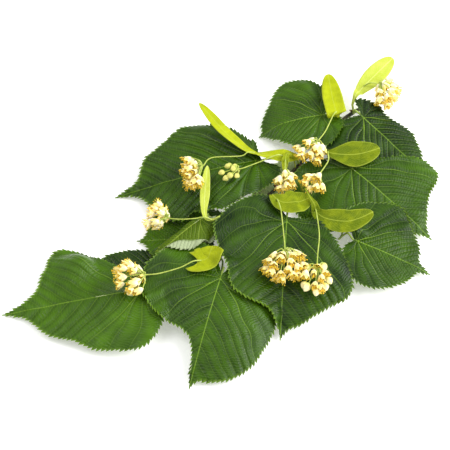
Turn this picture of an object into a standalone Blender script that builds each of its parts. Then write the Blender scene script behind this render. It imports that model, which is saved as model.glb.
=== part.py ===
"""A cut flowering linden branch, lying on a level surface at its real size.

A dark zigzag twig with one side shoot carries heart-shaped leaves on stalks, strap-shaped bracts and
clusters of blossom on long flower stalks. Sizes and places are in millimetres and angles in degrees; the
meshes are made in metres. The branch is put together from the surface upwards, and each piece rests on what
lies under it.
"""

import math

import bmesh
import bpy
import numpy as np
from mathutils import Matrix, Vector, noise
from mathutils.bvhtree import BVHTree

MM = 0.001
GAP = 0.3  # between pieces that touch
SEAT_GAP = 0.5  # the same where a round end meets an edge
BLOSSOM_GAP = 0.85  # the same from a stalk's middle line to the uneven blossom
CENTRE = (2.6, 9.2, 1.0)  # middle of the branch's outline, and its lowest level, which are put at the origin

# The woody twig, thickest at the cut end, and its side shoot
TWIG_RADIUS = (1.9, 1.1)
SHOOT_RADIUS = (1.2, 0.9)
TWIG_SIDES = 8
TWIG_STEPS = 20
SHOOT_STEPS = 8
TWIG_ROUTE = (
    (136, 145, 4),
    (121, 134, 6),
    (106, 118, 8),
    (89, 91, 10),
    (72, 73, 11),
    (49, 44, 11),
    (33, 28, 10),
    (14, 5, 9),
    (2, -16, 8),
    (-5, -35, 8),
)
SHOOT_ROUTE = ((98, 101, 8), (103, 78, 5), (107, 51, 4), (111, 28, 4), (114, 14, 4))

# A leaf's blade, seen flat: its half outline runs as curves from the tip to the notch, in shares of its
# length. WIDTH is half the blade's width, SHOULDER its half width near the tip, and LOBE how far it reaches
# back.
WIDTH = 0.5
SHOULDER = 0.1
LOBE = 0.24
SHOULDER_REACH = 0.25
HOLLOW = 0.2  # how far a narrow shoulder is hollowed out
NOTCH = 0.04  # how far the notch lies behind the stalk's end
RIM_STEPS = (3, 4, 4, 2)
BLADE_RINGS = (0.34, 0.62, 0.84, 1.0)
BLADE_THICK = 0.9
LONGEST_LOBE = 0.45
SIDES = ("left", "right")
BEND_STEPS = 120
ROLL = 2  # how late a blade's curl begins on the way to its rim
ROLL_STEPS = 12

# Leaf stalks: the limb each stands on and the places it passes on the way to its leaf
STALK_RADIUS = 1.0
STALK_SIDES = 6
STALK_STEPS = 7
STALK_REACH = 5.0  # straight behind the blade
STALK_RISE = 1.5  # straight out of the wood
LEAF_STALKS = {
    "turned": ("twig", (77, 71, 7)),
    "under": ("twig", (4, -7, 5)),
    "hidden": ("twig", (-8, -29, 5), (-18, -37, 2), (-33, -41, 2)),
    "back_right": ("twig", (125, 131, 12), (128, 125, 15)),
    "back": ("twig", (107, 126, 13), (101, 125, 17)),
    "right": ("twig", (89, 73, 13), (104, 71, 19)),
    "beside": ("side_shoot", (110, 11, 5), (105, -7, 6), (102, -14, 10)),
    "far_left": ("twig", (-13, -42, 6), (-35, -54, 8), (-57, -67, 14)),
    "front_left": ("twig", (-2, -43, 8), (-3, -54, 18)),
    "front": ("twig", (54, 38, 14), (56, 16, 24)),
    "back_left": ("twig", (66, 71, 15), (51, 68, 20)),
    "young": ("twig", (0, -4, 11), (-8, 4, 14), (-16, 7, 17)),
}

# Bracts are straps with a shallow channel, on a thin neck that stands on the twig. Tilts turn a strap about
# its own length, evenly from its foot to its tip.
BRACT_THICK = 0.7
BRACT_STEPS = 11
BRACT_CLEARANCE = 0.5
BRACT_CHANNEL = 0.12  # depth of the channel, in shares of half the width
NECK_HALF_WIDTH = 0.9
NECK_GROWTH = 0.3  # share of the length over which the neck widens
ROUND_END = 0.22  # share of the length taken by the round end


def bract(*route, width, neck=0.1, tilts=(0, 0), colour="bract"):
    """A bract's sizes: the places it passes, its full width and how much of its length is a thin neck."""
    return dict(route=route, width=width, neck=neck, tilts=tilts, colour=colour)


BRACTS = {
    "bract_back": bract((106, 121, 15), (106, 124, 24), (105, 138, 26), (103, 162, 25), width=15),
    "bract_back_right": bract(
        (121, 138, 12), (127, 147, 22), (143, 163, 28), (159, 180, 31), width=15, tilts=(10, 20),
        colour="pale_bract"),
    "bract_right": bract(
        (90, 84, 18), (96, 71, 26), (115, 68, 27), (129, 70, 28), (142, 75, 28), width=23, tilts=(0, 10)),
    "bract_middle": bract(
        (43, 25, 17), (43, 17, 27), (51, 10, 31), (64, 11, 31), (77, 17, 31), width=18, neck=0.25),
    "bract_pale": bract(
        (6, 1, 14), (-9, -2, 20), (-18, 0, 27), (-18, 22, 31), (-16, 51, 33), width=8, neck=0.25,
        colour="pale_bract"),
    "bract_long": bract(
        (71, 72, 18), (60, 68, 24), (41, 67, 26), (23, 71, 28), (6, 83, 32), (-10, 102, 35), (-24, 121, 37),
        width=11, tilts=(-30, 40)),
    "bract_front": bract(
        (66, 47, 18), (72, 25, 24), (79, 9, 26), (88, -3, 28), (107, -8, 29), (120, -5, 30), (132, 1, 31),
        width=20, neck=0.3, tilts=(0, 10)),
    "bract_curled": bract(
        (-10, -32, 17), (-13, -43, 30), (-16, -48, 27), (-26, -51, 27), (-33, -50, 23), width=24, neck=0.15),
    "bract_small": bract((62, 66, 19), (57, 68, 25), (55, 60, 27), (54, 49, 26), width=6, neck=0.3),
}

# Flower stalks leave a bract's midrib at a share of its length and pass these places on the way to the
# blossom
FLOWER_STALK_RADIUS = 0.65
FLOWER_STALK_SIDES = 5
FLOWER_STALK_STEPS = 9
FLOWER_STALK_REACH = 8.0
FLOWER_STALK_LIFT = 3.0
FLOWER_STALKS = {
    "middle_back": ("bract_back", 0.28, (93, 95, 28), (86, 82, 31)),
    "back_right": ("bract_back_right", 0.4, (143, 151, 29), (147, 147, 30)),
    "middle": ("bract_small", 0.7, (55, 48, 32)),
    "middle_right": ("bract_right", 0.32, (94, 58, 31), (88, 47, 31)),
    "left_back": ("bract_long", 0.42, (14, 62, 33), (-12, 60, 33)),
    "buds": ("bract_long", 0.2, (34, 58, 31), (17, 50, 31)),
    "front": ("bract_middle", 0.48, (50, -4, 36), (52, -31, 34)),
    "front_right": ("bract_front", 0.5, (83, -26, 34), (81, -46, 33)),
    "far_left": ("bract_curled", 0.75, (-39, -58, 30), (-57, -64, 30)),
    "left": ("bract_pale", 0.3, (-26, -4, 28), (-37, -5, 28), (-47, -3, 26)),
}

# Blossom clusters are closed, uneven lumps: middle, half sizes and heading
BLOSSOM_ROUND = 10
BLOSSOM_RISE = 6
BLOSSOM_UNEVEN = 0.16
BLOSSOM_LUMPS = 0.12  # lumps for each millimetre
BLOSSOM_LOW = 0.6  # least height of the middle over what lies below, in half heights
BLOSSOMS = {
    "middle_back": ((78, 70, 27), (15, 12, 8), -10),
    "back_right": ((154, 139, 25), (11, 17, 9), -15),
    "middle": ((56, 35, 26), (9, 10, 8), -10),
    "middle_right": ((79, 32, 30), (10, 10, 8), 0),
    "left_back": ((-30, 41, 25), (7, 19, 8), 8),
    "buds": ((3, 45, 27), (9, 10, 6), 0),
    "front": ((52, -54, 26), (17, 16, 10), 0),
    "front_right": ((81, -68, 25), (14, 14, 9), -20),
    "far_left": ((-84, -67, 26), (12, 20, 10), 15),
    "left": ((-61, 3, 19), (10, 15, 8), -20),
}

# The heap: how high the pieces laid so far reach, on a square grid
CELL = 2.0
HEAP_HALF = 260.0
REACH = 3  # cells by which each height is spread sideways before it is smoothed
CLEARANCE = 2.0
SOFTNESS = 1.2
HEAP_RIM_STEPS = (12, 24, 24, 12)
HEAP_RINGS = 60
FINE_STEPS = 160
BAND = (-4.0, 4.0)

COLOURS = {
    "leaf": ((0.055, 0.135, 0.018), 0.45),
    "young_leaf": ((0.12, 0.21, 0.02), 0.5),
    "turned_leaf": ((0.30, 0.36, 0.22), 0.7),
    "stalk": ((0.42, 0.55, 0.16), 0.5),
    "twig": ((0.022, 0.028, 0.012), 0.55),
    "bract": ((0.42, 0.50, 0.03), 0.5),
    "pale_bract": ((0.60, 0.72, 0.25), 0.5),
    "blossom": ((0.88, 0.70, 0.32), 0.7),
}


def leaf(base, heading, length, left, right, **shape):
    """A leaf's sizes: where it meets its stalk, the way its tip points, and for each of its halves, seen from
    the stalk, how its width, shoulder and lobe compare with the usual ones and where along the midrib it is
    widest. fold is how steeply each half leaves the midrib, curl how steeply it ends at its rim, beside the
    stalk and at the tip, and pitch is the midrib's slope at the stalk, half way and at the tip."""
    sizes = dict(pitch=(4, -6, -10), colour="leaf", swells=())
    sizes.update(fold=((4, 4), (4, 4)), curl=((-12, -12), (-12, -12)))
    sizes.update(base=base, heading=heading, length=length, left=left, right=right, **shape)
    return sizes


LEAVES = {
    "turned": leaf(
        (67, 62, 4), 218, 56, left=(0.9, 1, 1, 0.2), right=(0.8, 1, 1, 0.2), pitch=(0, 0, 0),
        colour="turned_leaf"),
    "hidden": leaf((-53, -44, 2), 176, 68, left=(1, 1, 1, 0.2), right=(0.6, 1, 1, 0.3), pitch=(0, 0, 0)),
    "under": leaf((-10, -7, 4), 185, 68, left=(1.2, 2, -0.2, 0.3), right=(1.0, 2, 1, 0.3), pitch=(0, 0, -2)),
    "back_right": leaf(
        (130, 119, 16), -46, 78, left=(0.6, 1.2, 1.0, 0.25), right=(1.45, 1.2, 0.6, 0.2), pitch=(0, -10, -8),
        swells=((-0.2, 0.2, 8, 0.22),)),
    "back": leaf(
        (91, 122, 18), 194, 64, left=(1.0, 1.2, 1, 0.2), right=(1.45, 1.7, 1, 0.3), pitch=(4, -10, -50)),
    "right": leaf(
        (116, 58, 20), -45, 98, left=(1.05, 1.6, -0.5, 0.45), right=(1.4, 1.0, 1.5, 0.2), pitch=(0, -8, -18),
        fold=((4, 4), (-8, -4)), curl=((-12, -12), (-24, -20))),
    "beside": leaf(
        (118, -20, 16), -24, 68, left=(1.4, 1.7, 1.3, 0.2), right=(1.2, 1.6, 0.5, 0.4), pitch=(-4, -8, -18)),
    "far_left": leaf(
        (-71, -73, 18), 188, 120, left=(0.93, 1, 0.5, 0.2), right=(0.95, 0.8, 0.05, 0.5), pitch=(0, -8, -8),
        fold=((0, 0), (-40, 14)), curl=((-14, -20), (-90, 10)), swells=((0.44, -0.42, 18, 0.16),)),
    "front_left": leaf(
        (-4, -65, 24), -105, 103, left=(1.08, 1.8, 1, 0.3), right=(1.3, 0.2, 1.2, 0.3),
        fold=((-4, -4), (4, 0)), curl=((-30, -24), (-10, -120)), pitch=(0, -10, -24)),
    "front": leaf(
        (55, -7, 28), -94, 111, left=(1.04, 1.8, 0.1, 0.5), right=(1.1, 1.9, 0.9, 0.2), pitch=(-4, -12, -26)),
    "back_left": leaf(
        (29, 65, 22), 192, 132, left=(0.68, 1.3, 0.7, 0.5), right=(0.76, 1.0, 0.1, 0.4), pitch=(2, -10, -14)),
    "young": leaf(
        (-22, 1, 19.5), 222, 52, left=(1.1, 1.4, 1, 0.3), right=(0.15, 1, 0.2, 0.3), colour="young_leaf"),
}


def clear_scene():
    """Leaves nothing of an earlier run in the file."""
    for thing in list(bpy.data.objects):
        bpy.data.objects.remove(thing, do_unlink=True)


def material(name):
    """The finish of one kind of piece, by its name in COLOURS."""
    if name in bpy.data.materials:
        return bpy.data.materials[name]
    colour, roughness = COLOURS[name]
    made = bpy.data.materials.new(name)
    made.use_nodes = True
    shader = made.node_tree.nodes["Principled BSDF"]
    shader.inputs["Base Color"].default_value = (*colour, 1.0)
    shader.inputs["Roughness"].default_value = roughness
    shader.inputs["Metallic"].default_value = 0.0
    return made


def make_object(name, points, faces, finish):
    """One named object from points in millimetres; its origin is put at the middle of its own box."""
    points = np.asarray(points, float) - CENTRE
    middle = (points.min(0) + points.max(0)) / 2
    mesh = bpy.data.meshes.new(name)
    mesh.from_pydata([tuple(p) for p in (points - middle) * MM], [], faces)
    shape = bmesh.new()
    shape.from_mesh(mesh)
    bmesh.ops.triangulate(shape, faces=shape.faces[:])
    bmesh.ops.recalc_face_normals(shape, faces=shape.faces[:])
    shape.to_mesh(mesh)
    shape.free()
    mesh.shade_smooth()
    mesh.set_sharp_from_angle(angle=math.radians(50))
    mesh.materials.append(material(finish))
    made = bpy.data.objects.new(name, mesh)
    made.location = Vector(middle * MM)
    bpy.context.collection.objects.link(made)
    return made


def smooth_route(route, steps, span_steps=16):
    """Points evenly along a smooth curve through a route's own points."""
    route = np.asarray(route, float)
    ends = np.vstack([2 * route[0] - route[1], route, 2 * route[-1] - route[-2]])
    curve = []
    for k in range(len(route) - 1):
        a, b, c, d = ends[k : k + 4]
        for t in np.linspace(0, 1, span_steps, endpoint=False):
            square, cube = 2 * a - 5 * b + 4 * c - d, 3 * b - a - 3 * c + d
            curve.append(0.5 * (2 * b + (c - a) * t + square * t**2 + cube * t**3))
    curve = np.array([*curve, route[-1]])
    run = np.concatenate([[0], np.cumsum(np.linalg.norm(np.diff(curve, axis=0), axis=1))])
    wanted = np.linspace(0, run[-1], steps + 1)
    return np.stack([np.interp(wanted, run, curve[:, k]) for k in range(3)], 1)


def directions(points):
    """The direction of travel at each point of a path."""
    along = np.gradient(points, axis=0)
    return along / np.linalg.norm(along, axis=1, keepdims=True)


def tube(points, radii, sides):
    """Points and faces of a round limb along a path, closed at both ends."""
    along = directions(points)
    side = np.cross(along[0], (0.0, 0.0, 1.0))
    side /= np.linalg.norm(side)
    turns = np.linspace(0, 2 * math.pi, sides, endpoint=False)
    made, faces = [], []
    for k, (point, way) in enumerate(zip(points, along)):
        side = side - way * (side @ way)
        side /= np.linalg.norm(side)
        up = np.cross(side, way)
        made.extend(point + radii[k] * (math.cos(t) * side + math.sin(t) * up) for t in turns)
    for k in range(len(points) - 1):
        for n in range(sides):
            a, b = k * sides + n, k * sides + (n + 1) % sides
            faces.append((a, b, b + sides, a + sides))
    last = (len(points) - 1) * sides
    faces.append(tuple(range(sides))[::-1])
    faces.append(tuple(range(last, last + sides)))
    return np.array(made), faces


class Heap:
    """How high each piece laid so far reaches, so that the next piece rests on them."""

    def __init__(self):
        self.cells = int(2 * HEAP_HALF / CELL)
        self.layers = {}

    def place(self, x, y):
        return (x + HEAP_HALF) / CELL - 0.5, (y + HEAP_HALF) / CELL - 0.5

    def add(self, name, points, band=()):
        """Takes in the points of a laid piece. A band widens a thin one, so that the flat facets of what
        comes over it stay clear."""
        points = np.vstack([points + (dx, dy, 0) for dx in (0, *band) for dy in (0, *band)])
        layer = np.zeros((self.cells, self.cells))
        cells = np.rint(self.place(points[:, 0], points[:, 1])).astype(int).clip(0, self.cells - 1)
        np.maximum.at(layer, tuple(cells), points[:, 2])
        self.layers[name] = layer

    def surface(self, without):
        """The heap's top, spread sideways and smoothed, with some pieces left out."""
        layers = [layer for name, layer in self.layers.items() if name not in without]
        top = np.max([np.zeros((self.cells, self.cells)), *layers], 0)
        for blend in [np.max] * REACH + [np.mean] * (REACH - 1):
            wide = np.pad(top, 1, mode="edge")
            top = blend([top, wide[2:, 1:-1], wide[:-2, 1:-1], wide[1:-1, 2:], wide[1:-1, :-2]], axis=0)
        return top

    def rest(self, points, half_thick, without=()):
        """The points, lifted smoothly wherever they would come lower than the heap allows."""
        surface = self.surface(without)
        i, j = (v.clip(0, self.cells - 1.001) for v in self.place(points[..., 0], points[..., 1]))
        m, n = i.astype(int), j.astype(int)
        u, v = i - m, j - n
        low = surface[m, n] * (1 - v) + surface[m, n + 1] * v
        high = surface[m + 1, n] * (1 - v) + surface[m + 1, n + 1] * v
        height = low * (1 - u) + high * u
        floor = height + half_thick + np.where(height > 0.1, CLEARANCE, 0.0)
        lifted = points.copy()
        lifted[..., 2] = np.logaddexp(points[..., 2] / SOFTNESS, floor / SOFTNESS) * SOFTNESS
        return lifted


def half_rim(shape, steps):
    """Points of a half outline from the tip to the notch, along and across, in shares of the length."""
    width, shoulder, lobe, widest = shape[0] * WIDTH, shape[1] * SHOULDER, shape[2] * LOBE, shape[3]
    reach = SHOULDER_REACH * min(1, shape[1])
    hollow = HOLLOW * max(0, 1 - shape[1])
    back = 0.5 + 0.3 * shape[2]
    bends = (
        ((1.0, 0.0), (0.93, 0.01), (0.90, 0.03), (0.85, shoulder)),
        ((0.85, shoulder), (0.76 - hollow, 2.3 * shoulder), (widest + reach, width), (widest, width)),
        ((widest, width), (widest - 0.2, width), (-0.9 * lobe, back * width), (-lobe, 0.44 * width)),
        ((-lobe, 0.44 * width), (-1.05 * lobe, 0.2 * width), (-0.5 * lobe, 0.06), (-NOTCH, 0.0)),
    )
    points = []
    for bend, count in zip(bends, steps):
        a, b, c, d = np.array(bend)
        for t in np.linspace(0, 1, count, endpoint=False):
            s = 1 - t
            points.append(a * s**3 + 3 * b * s * s * t + 3 * c * s * t * t + d * t**3)
    return np.array([*points, (-NOTCH, 0.0)])


def flat_blade(sizes, steps, shares):
    """Flat places over a blade: one row for each share of the way to the rim, along and across, in shares of
    its length."""
    left = half_rim(sizes["left"], steps)
    right = half_rim(sizes["right"], steps)[-2:0:-1] * (1, -1)
    return np.array(shares)[:, None, None] * np.vstack([left, right])[None]


def rolled(fold, curl, share):
    """How far a line gets, across and up, that leaves the midrib at one angle and rolls towards another."""
    steps = (np.arange(ROLL_STEPS) + 0.5) / ROLL_STEPS
    angles = fold[..., None] + (curl - fold)[..., None] * (share[..., None] * steps) ** ROLL
    return share * np.cos(angles).mean(-1), share * np.sin(angles).mean(-1)


def by_side(angles, is_left, along):
    """An angle that differs between a blade's halves and changes evenly from its stalk to its tip."""
    by_stalk, by_tip = (np.where(is_left, angles[0][end], angles[1][end]) for end in (0, 1))
    return by_stalk + (by_tip - by_stalk) * along.clip(0, 1)


def bend_blade(sizes, flat):
    """Flat places of a blade bent along its midrib, folded and curled across it, and set in their place."""
    length = sizes["length"]
    along, across = flat[..., 0], flat[..., 1]
    t = np.linspace(-LONGEST_LOBE, 1.05, BEND_STEPS)
    first, middle, last = np.radians(sizes["pitch"])
    u = t.clip(0, 1)
    pitch = first * (1 - u) * (1 - 2 * u) + 4 * middle * u * (1 - u) + last * u * (2 * u - 1)
    step = t[1] - t[0]
    way = np.cumsum(np.cos(pitch)) * step
    rise = np.cumsum(np.sin(pitch)) * step
    way -= np.interp(0, t, way)
    rise -= np.interp(0, t, rise)
    tilt = np.interp(along, t, pitch)

    is_left = across >= 0
    side = np.where(is_left, 1.0, -1.0)
    half = WIDTH * np.where(is_left, sizes["left"][0], sizes["right"][0])
    fold, curl = (np.radians(by_side(sizes[bend], is_left, along)) for bend in ("fold", "curl"))
    out, up = rolled(fold, curl, np.abs(across) / half)
    out, up = out * half * side, up * half
    x = np.interp(along, t, way) - np.sin(tilt) * up
    z = np.interp(along, t, rise) + np.cos(tilt) * up
    for at_along, at_across, height, spread in sizes["swells"]:
        z = z + height / length * np.exp(-((along - at_along) ** 2 + (across - at_across) ** 2) / spread**2)
    heading = math.radians(sizes["heading"])
    x, out = x * math.cos(heading) - out * math.sin(heading), x * math.sin(heading) + out * math.cos(heading)
    return np.stack([x, out, z], -1) * length + sizes["base"]


def blade_grid(rings, around):
    """Faces of a blade's polar grid: a middle point, then rings of points."""
    faces = []
    for n in range(around):
        m = (n + 1) % around
        faces.append((0, 1 + n, 1 + m))
        for k in range(rings - 1):
            a, b = 1 + k * around + n, 1 + k * around + m
            faces.append((a, a + around, b + around, b))
    return faces


def thick_sheet(points, faces, edge, thick):
    """A closed sheet of even thickness about a middle surface; edge lists its border points in order."""
    normals = np.zeros_like(points)
    for face in faces:
        a, b, c = points[face[0]], points[face[1]], points[face[2]]
        normal = np.cross(b - a, c - a)
        if len(face) == 4:
            d = points[face[3]]
            normal = normal + np.cross(c - a, d - a)
        for corner in face:
            normals[corner] += normal
    normals /= np.linalg.norm(normals, axis=1, keepdims=True)
    count = len(points)
    both = np.vstack([points + normals * thick / 2, points - normals * thick / 2])
    closed = list(faces) + [tuple(corner + count for corner in face[::-1]) for face in faces]
    for a, b in zip(edge, [*edge[1:], edge[0]]):
        closed.append((b, a, a + count, b + count))
    return both, closed


def lay_leaf(name, beneath=()):
    """Makes a leaf's blade on the heap, without regard to the pieces it lies beneath."""
    sizes = LEAVES[name]
    own = ("stalk_" + name, *beneath)
    flat = flat_blade(sizes, RIM_STEPS, BLADE_RINGS)
    middle = bend_blade(sizes, np.zeros((1, 2)))
    points = np.vstack([middle, bend_blade(sizes, flat).reshape(-1, 3)])
    points = heap.rest(points, BLADE_THICK / 2, own)
    around = flat.shape[1]
    faces = blade_grid(len(BLADE_RINGS), around)
    edge = list(range(len(points) - around, len(points)))
    make_object("leaf_" + name, *thick_sheet(points, faces, edge, BLADE_THICK), sizes["colour"])
    notches[name] = behind_notch(sizes, own)
    fine = bend_blade(sizes, flat_blade(sizes, HEAP_RIM_STEPS, np.linspace(0, 1, HEAP_RINGS))).reshape(-1, 3)
    fine = heap.rest(fine, BLADE_THICK / 2, own)
    heap.add("leaf_" + name, fine + (0, 0, BLADE_THICK / 2))


def seat(wood, towards, stand_off):
    """The place beside a wooden limb's middle line that faces a point, and the way out of the limb there."""
    path, radii = woods[wood]
    k = int(np.argmin(np.linalg.norm(path - towards, axis=1)))
    along = path[min(k + 1, len(path) - 1)] - path[max(k - 1, 0)]
    along /= np.linalg.norm(along)
    out = np.asarray(towards, float) - path[k]
    out -= along * (out @ along)
    out /= np.linalg.norm(out)
    return path[k] + out * (radii[k] + stand_off), out


def lay_wood(name, route, steps, radius, start=None):
    """Makes the twig or its side shoot, which may begin on the other."""
    route = [np.array(place, float) for place in route]
    if start:
        foot, _ = seat(start, route[1], GAP)
        route[0] = foot
    path = smooth_route(route, steps)
    make_object(name, *tube(path, np.linspace(*radius, len(path)), TWIG_SIDES), "twig")
    fine = smooth_route(route, FINE_STEPS)
    woods[name] = fine, np.linspace(*radius, len(fine))
    heap.add(name, fine + (0, 0, radius[0]), BAND)


def behind_notch(sizes, without):
    """Where a stalk ends just clear of the notch of its blade, and a place straight behind that."""
    rims = [half_rim(sizes[side], RIM_STEPS) for side in SIDES]
    slope = max(abs((-NOTCH - rim[-2][0]) / rim[-2][1]) for rim in rims)
    behind = NOTCH + (slope * STALK_RADIUS + math.hypot(1, slope) * SEAT_GAP) / sizes["length"]
    reach = behind + STALK_REACH / sizes["length"]
    return heap.rest(bend_blade(sizes, np.array([[-reach, 0.0], [-behind, 0.0]])), BLADE_THICK / 2, without)


def plan_leaf_stalk(name):
    """Finds a leaf stalk's route over the heap, and keeps room for it there."""
    wood, *route = LEAF_STALKS[name]
    route = heap.rest(np.array(route, float), STALK_RADIUS, ("leaf_" + name, wood))
    foot, out = seat(wood, route[0], SEAT_GAP)
    stalk_routes[name] = [foot, foot + out * STALK_RISE, *route]
    head = notches.get(name, behind_notch(LEAVES[name], ("stalk_" + name,)))
    fine = smooth_route([*stalk_routes[name], *head], FINE_STEPS)
    heap.add("stalk_" + name, fine + (0, 0, STALK_RADIUS), BAND)


def lay_leaf_stalk(name):
    """Makes a leaf's stalk, from the wood to the notch of its blade."""
    path = smooth_route([*stalk_routes[name], *notches[name]], STALK_STEPS)
    make_object("stalk_" + name, *tube(path, np.full(len(path), STALK_RADIUS), STALK_SIDES), "stalk")


def lay_bract(name):
    """Makes a bract, from its foot on the twig to its round end."""
    sizes = BRACTS[name]
    dip = NECK_HALF_WIDTH * abs(math.sin(math.radians(sizes["tilts"][0])))
    foot, out = seat("twig", sizes["route"][0], SEAT_GAP + dip)
    path = smooth_route([foot, foot + out * STALK_RISE, *sizes["route"]], BRACT_STEPS)
    share = np.linspace(0, 1, len(path))
    laid = heap.rest(path, BRACT_THICK / 2 + BRACT_CLEARANCE, ("twig",))
    path[:, 2] += (laid[:, 2] - path[:, 2]) * np.clip(share / NECK_GROWTH, 0, 1)
    growth = np.clip((share - sizes["neck"]) / NECK_GROWTH, 0, 1)
    half = NECK_HALF_WIDTH + (sizes["width"] / 2 - NECK_HALF_WIDTH) * growth * growth * (3 - 2 * growth)
    ending = np.clip((share - 1 + ROUND_END) / ROUND_END, 0, 1)
    half = np.maximum(half * np.sqrt(1 - ending**2), NECK_HALF_WIDTH)
    along = directions(path)
    sides = [np.cross((0.0, 0.0, 1.0), along[-1])]
    for way in along[-2::-1]:
        sides.append(sides[-1] - way * (sides[-1] @ way))
        sides[-1] /= np.linalg.norm(sides[-1])
    sides = np.array(sides[::-1])
    tilt = np.radians(np.interp(share, (0, 1), sizes["tilts"]))[:, None]
    ups = np.cross(along, sides)
    sides, ups = sides * np.cos(tilt) + ups * np.sin(tilt), ups * np.cos(tilt) - sides * np.sin(tilt)
    half = half[:, None]
    rows = [path + sides * half * k + ups * half * BRACT_CHANNEL * abs(k) for k in (-1, 0, 1)]
    points = np.stack(rows, 1).reshape(-1, 3)
    count = len(path)
    corners = [3 * k + n for k in range(count - 1) for n in (0, 1)]
    faces = [(a, a + 1, a + 4, a + 3) for a in corners]
    edge = [3 * k for k in range(count)] + [3 * count - 2] + [3 * k + 2 for k in range(count)][::-1] + [1]
    make_object(name, *thick_sheet(points, faces, edge[::-1], BRACT_THICK), sizes["colour"])
    bracts[name] = path, ups
    spread = [path + sides * half * k for k in np.linspace(-1, 1, 9)]
    fine = [row[:-1] + (row[1:] - row[:-1]) * t for row in spread for t in (0, 0.25, 0.5, 0.75)]
    heap.add(name, np.vstack(fine) + (0, 0, BRACT_THICK / 2))


def lay_blossom(name):
    """Makes the closed, uneven lump of one blossom cluster on the heap."""
    middle, half_sizes, heading = BLOSSOMS[name]
    middle = heap.rest(np.array(middle, float), BLOSSOM_LOW * half_sizes[2])
    shape = bmesh.new()
    bmesh.ops.create_uvsphere(shape, u_segments=BLOSSOM_ROUND, v_segments=BLOSSOM_RISE, radius=1.0)
    turn = math.radians(heading)
    points = []
    for vert in shape.verts:
        place = Vector([c * h for c, h in zip(vert.co, half_sizes)])
        uneven = noise.noise((place + Vector(middle)) * BLOSSOM_LUMPS)
        place *= 1 + BLOSSOM_UNEVEN * 2 * uneven
        place.rotate(Matrix.Rotation(turn, 3, "Z"))
        points.append(tuple(place + Vector(middle)))
    faces = [tuple(v.index for v in face.verts) for face in shape.faces]
    shape.free()
    points = np.array(points)
    low = points[:, 2] < middle[2]
    points[low] = heap.rest(points[low], 0.0)
    make_object("blossom_" + name, points, faces, "blossom")
    blossoms[name] = BVHTree.FromPolygons([Vector(p) for p in points], faces), Vector(points.mean(0))


def lay_flower_stalk(name):
    """Makes a flower stalk, from the midrib of its bract to its blossom."""
    bract_name, share, *route = FLOWER_STALKS[name]
    path, ups = bracts[bract_name]
    at = share * (len(path) - 1)
    k = int(at)
    on_bract = path[k] + (path[k + 1] - path[k]) * (at - k)
    foot = on_bract + ups[k] * (BRACT_THICK / 2 + FLOWER_STALK_RADIUS + SEAT_GAP)
    leaving = np.array(route[0]) - foot
    leaving *= min(0.5, FLOWER_STALK_REACH / np.linalg.norm(leaving))
    leaving += foot + (0, 0, FLOWER_STALK_LIFT)
    route = heap.rest(np.array([leaving, *route]), FLOWER_STALK_RADIUS, (bract_name, "twig"))
    route = [foot, *route]
    tree, middle = blossoms[name]
    last = Vector(route[-1])
    towards = (middle - last).normalized()
    hit, *_ = tree.ray_cast(last, towards)
    head = np.array(hit - towards * BLOSSOM_GAP)
    path = smooth_route([*route, head], FLOWER_STALK_STEPS)
    radii = np.full(len(path), FLOWER_STALK_RADIUS)
    make_object("flower_stalk_" + name, *tube(path, radii, FLOWER_STALK_SIDES), "stalk")


clear_scene()
heap = Heap()
woods, notches, stalk_routes, bracts, blossoms = {}, {}, {}, {}, {}
lay_leaf("turned")
lay_leaf("hidden")
lay_wood("twig", TWIG_ROUTE, TWIG_STEPS, TWIG_RADIUS)
lay_wood("side_shoot", SHOOT_ROUTE, SHOOT_STEPS, SHOOT_RADIUS, "twig")
for name in ("turned", "hidden", "beside"):
    plan_leaf_stalk(name)
lay_leaf("under", beneath=("twig",))
for name in ("under", "far_left", "front_left", "young"):
    plan_leaf_stalk(name)
lay_leaf("back_right")
for name in ("back_right", "back", "right"):
    plan_leaf_stalk(name)
for name in ("back", "right", "beside", "far_left", "front_left", "young"):
    lay_leaf(name)
plan_leaf_stalk("front")
lay_leaf("front")
lay_leaf("back_left")
plan_leaf_stalk("back_left")
for name in LEAF_STALKS:
    lay_leaf_stalk(name)
for name in BRACTS:
    lay_bract(name)
for name in BLOSSOMS:
    lay_blossom(name)
for name in FLOWER_STALKS:
    lay_flower_stalk(name)
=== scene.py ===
import math
import bpy
import numpy as np
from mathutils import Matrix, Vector, noise


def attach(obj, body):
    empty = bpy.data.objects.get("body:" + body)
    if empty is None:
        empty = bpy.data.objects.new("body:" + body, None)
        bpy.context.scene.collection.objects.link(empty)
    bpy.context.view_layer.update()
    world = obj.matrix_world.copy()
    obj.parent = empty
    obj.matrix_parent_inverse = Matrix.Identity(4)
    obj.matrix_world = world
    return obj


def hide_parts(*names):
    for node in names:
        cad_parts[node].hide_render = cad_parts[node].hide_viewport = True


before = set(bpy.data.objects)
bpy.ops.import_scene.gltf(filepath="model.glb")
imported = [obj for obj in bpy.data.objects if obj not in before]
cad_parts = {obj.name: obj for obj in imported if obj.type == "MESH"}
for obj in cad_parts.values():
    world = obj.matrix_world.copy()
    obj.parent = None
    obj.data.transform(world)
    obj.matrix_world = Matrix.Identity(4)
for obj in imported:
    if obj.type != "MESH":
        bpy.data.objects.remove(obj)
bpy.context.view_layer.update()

# Table, lamps and camera
# The cut branch lies on a white table that glows a little, under a large soft lamp on its right and a weaker
# one on its left. The camera looks down on it through a long lens.
VIEW_FROM_LEVEL = math.radians(55)
VIEW_TARGET = Vector((-0.0026, -0.0092, 0.011))
VIEW_DISTANCE = 1.5
LENS = 133.3
TABLE_RADIUS = 30.0
TABLE_CORNERS = 64
TABLE_WHITE = (0.95, 0.95, 0.95, 1.0)
TABLE_ROUGHNESS = 0.9
TABLE_GLOW = 0.27
ROOM_WHITE = (1.0, 1.0, 1.0, 1.0)
ROOM_LIGHT = 0.64
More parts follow.
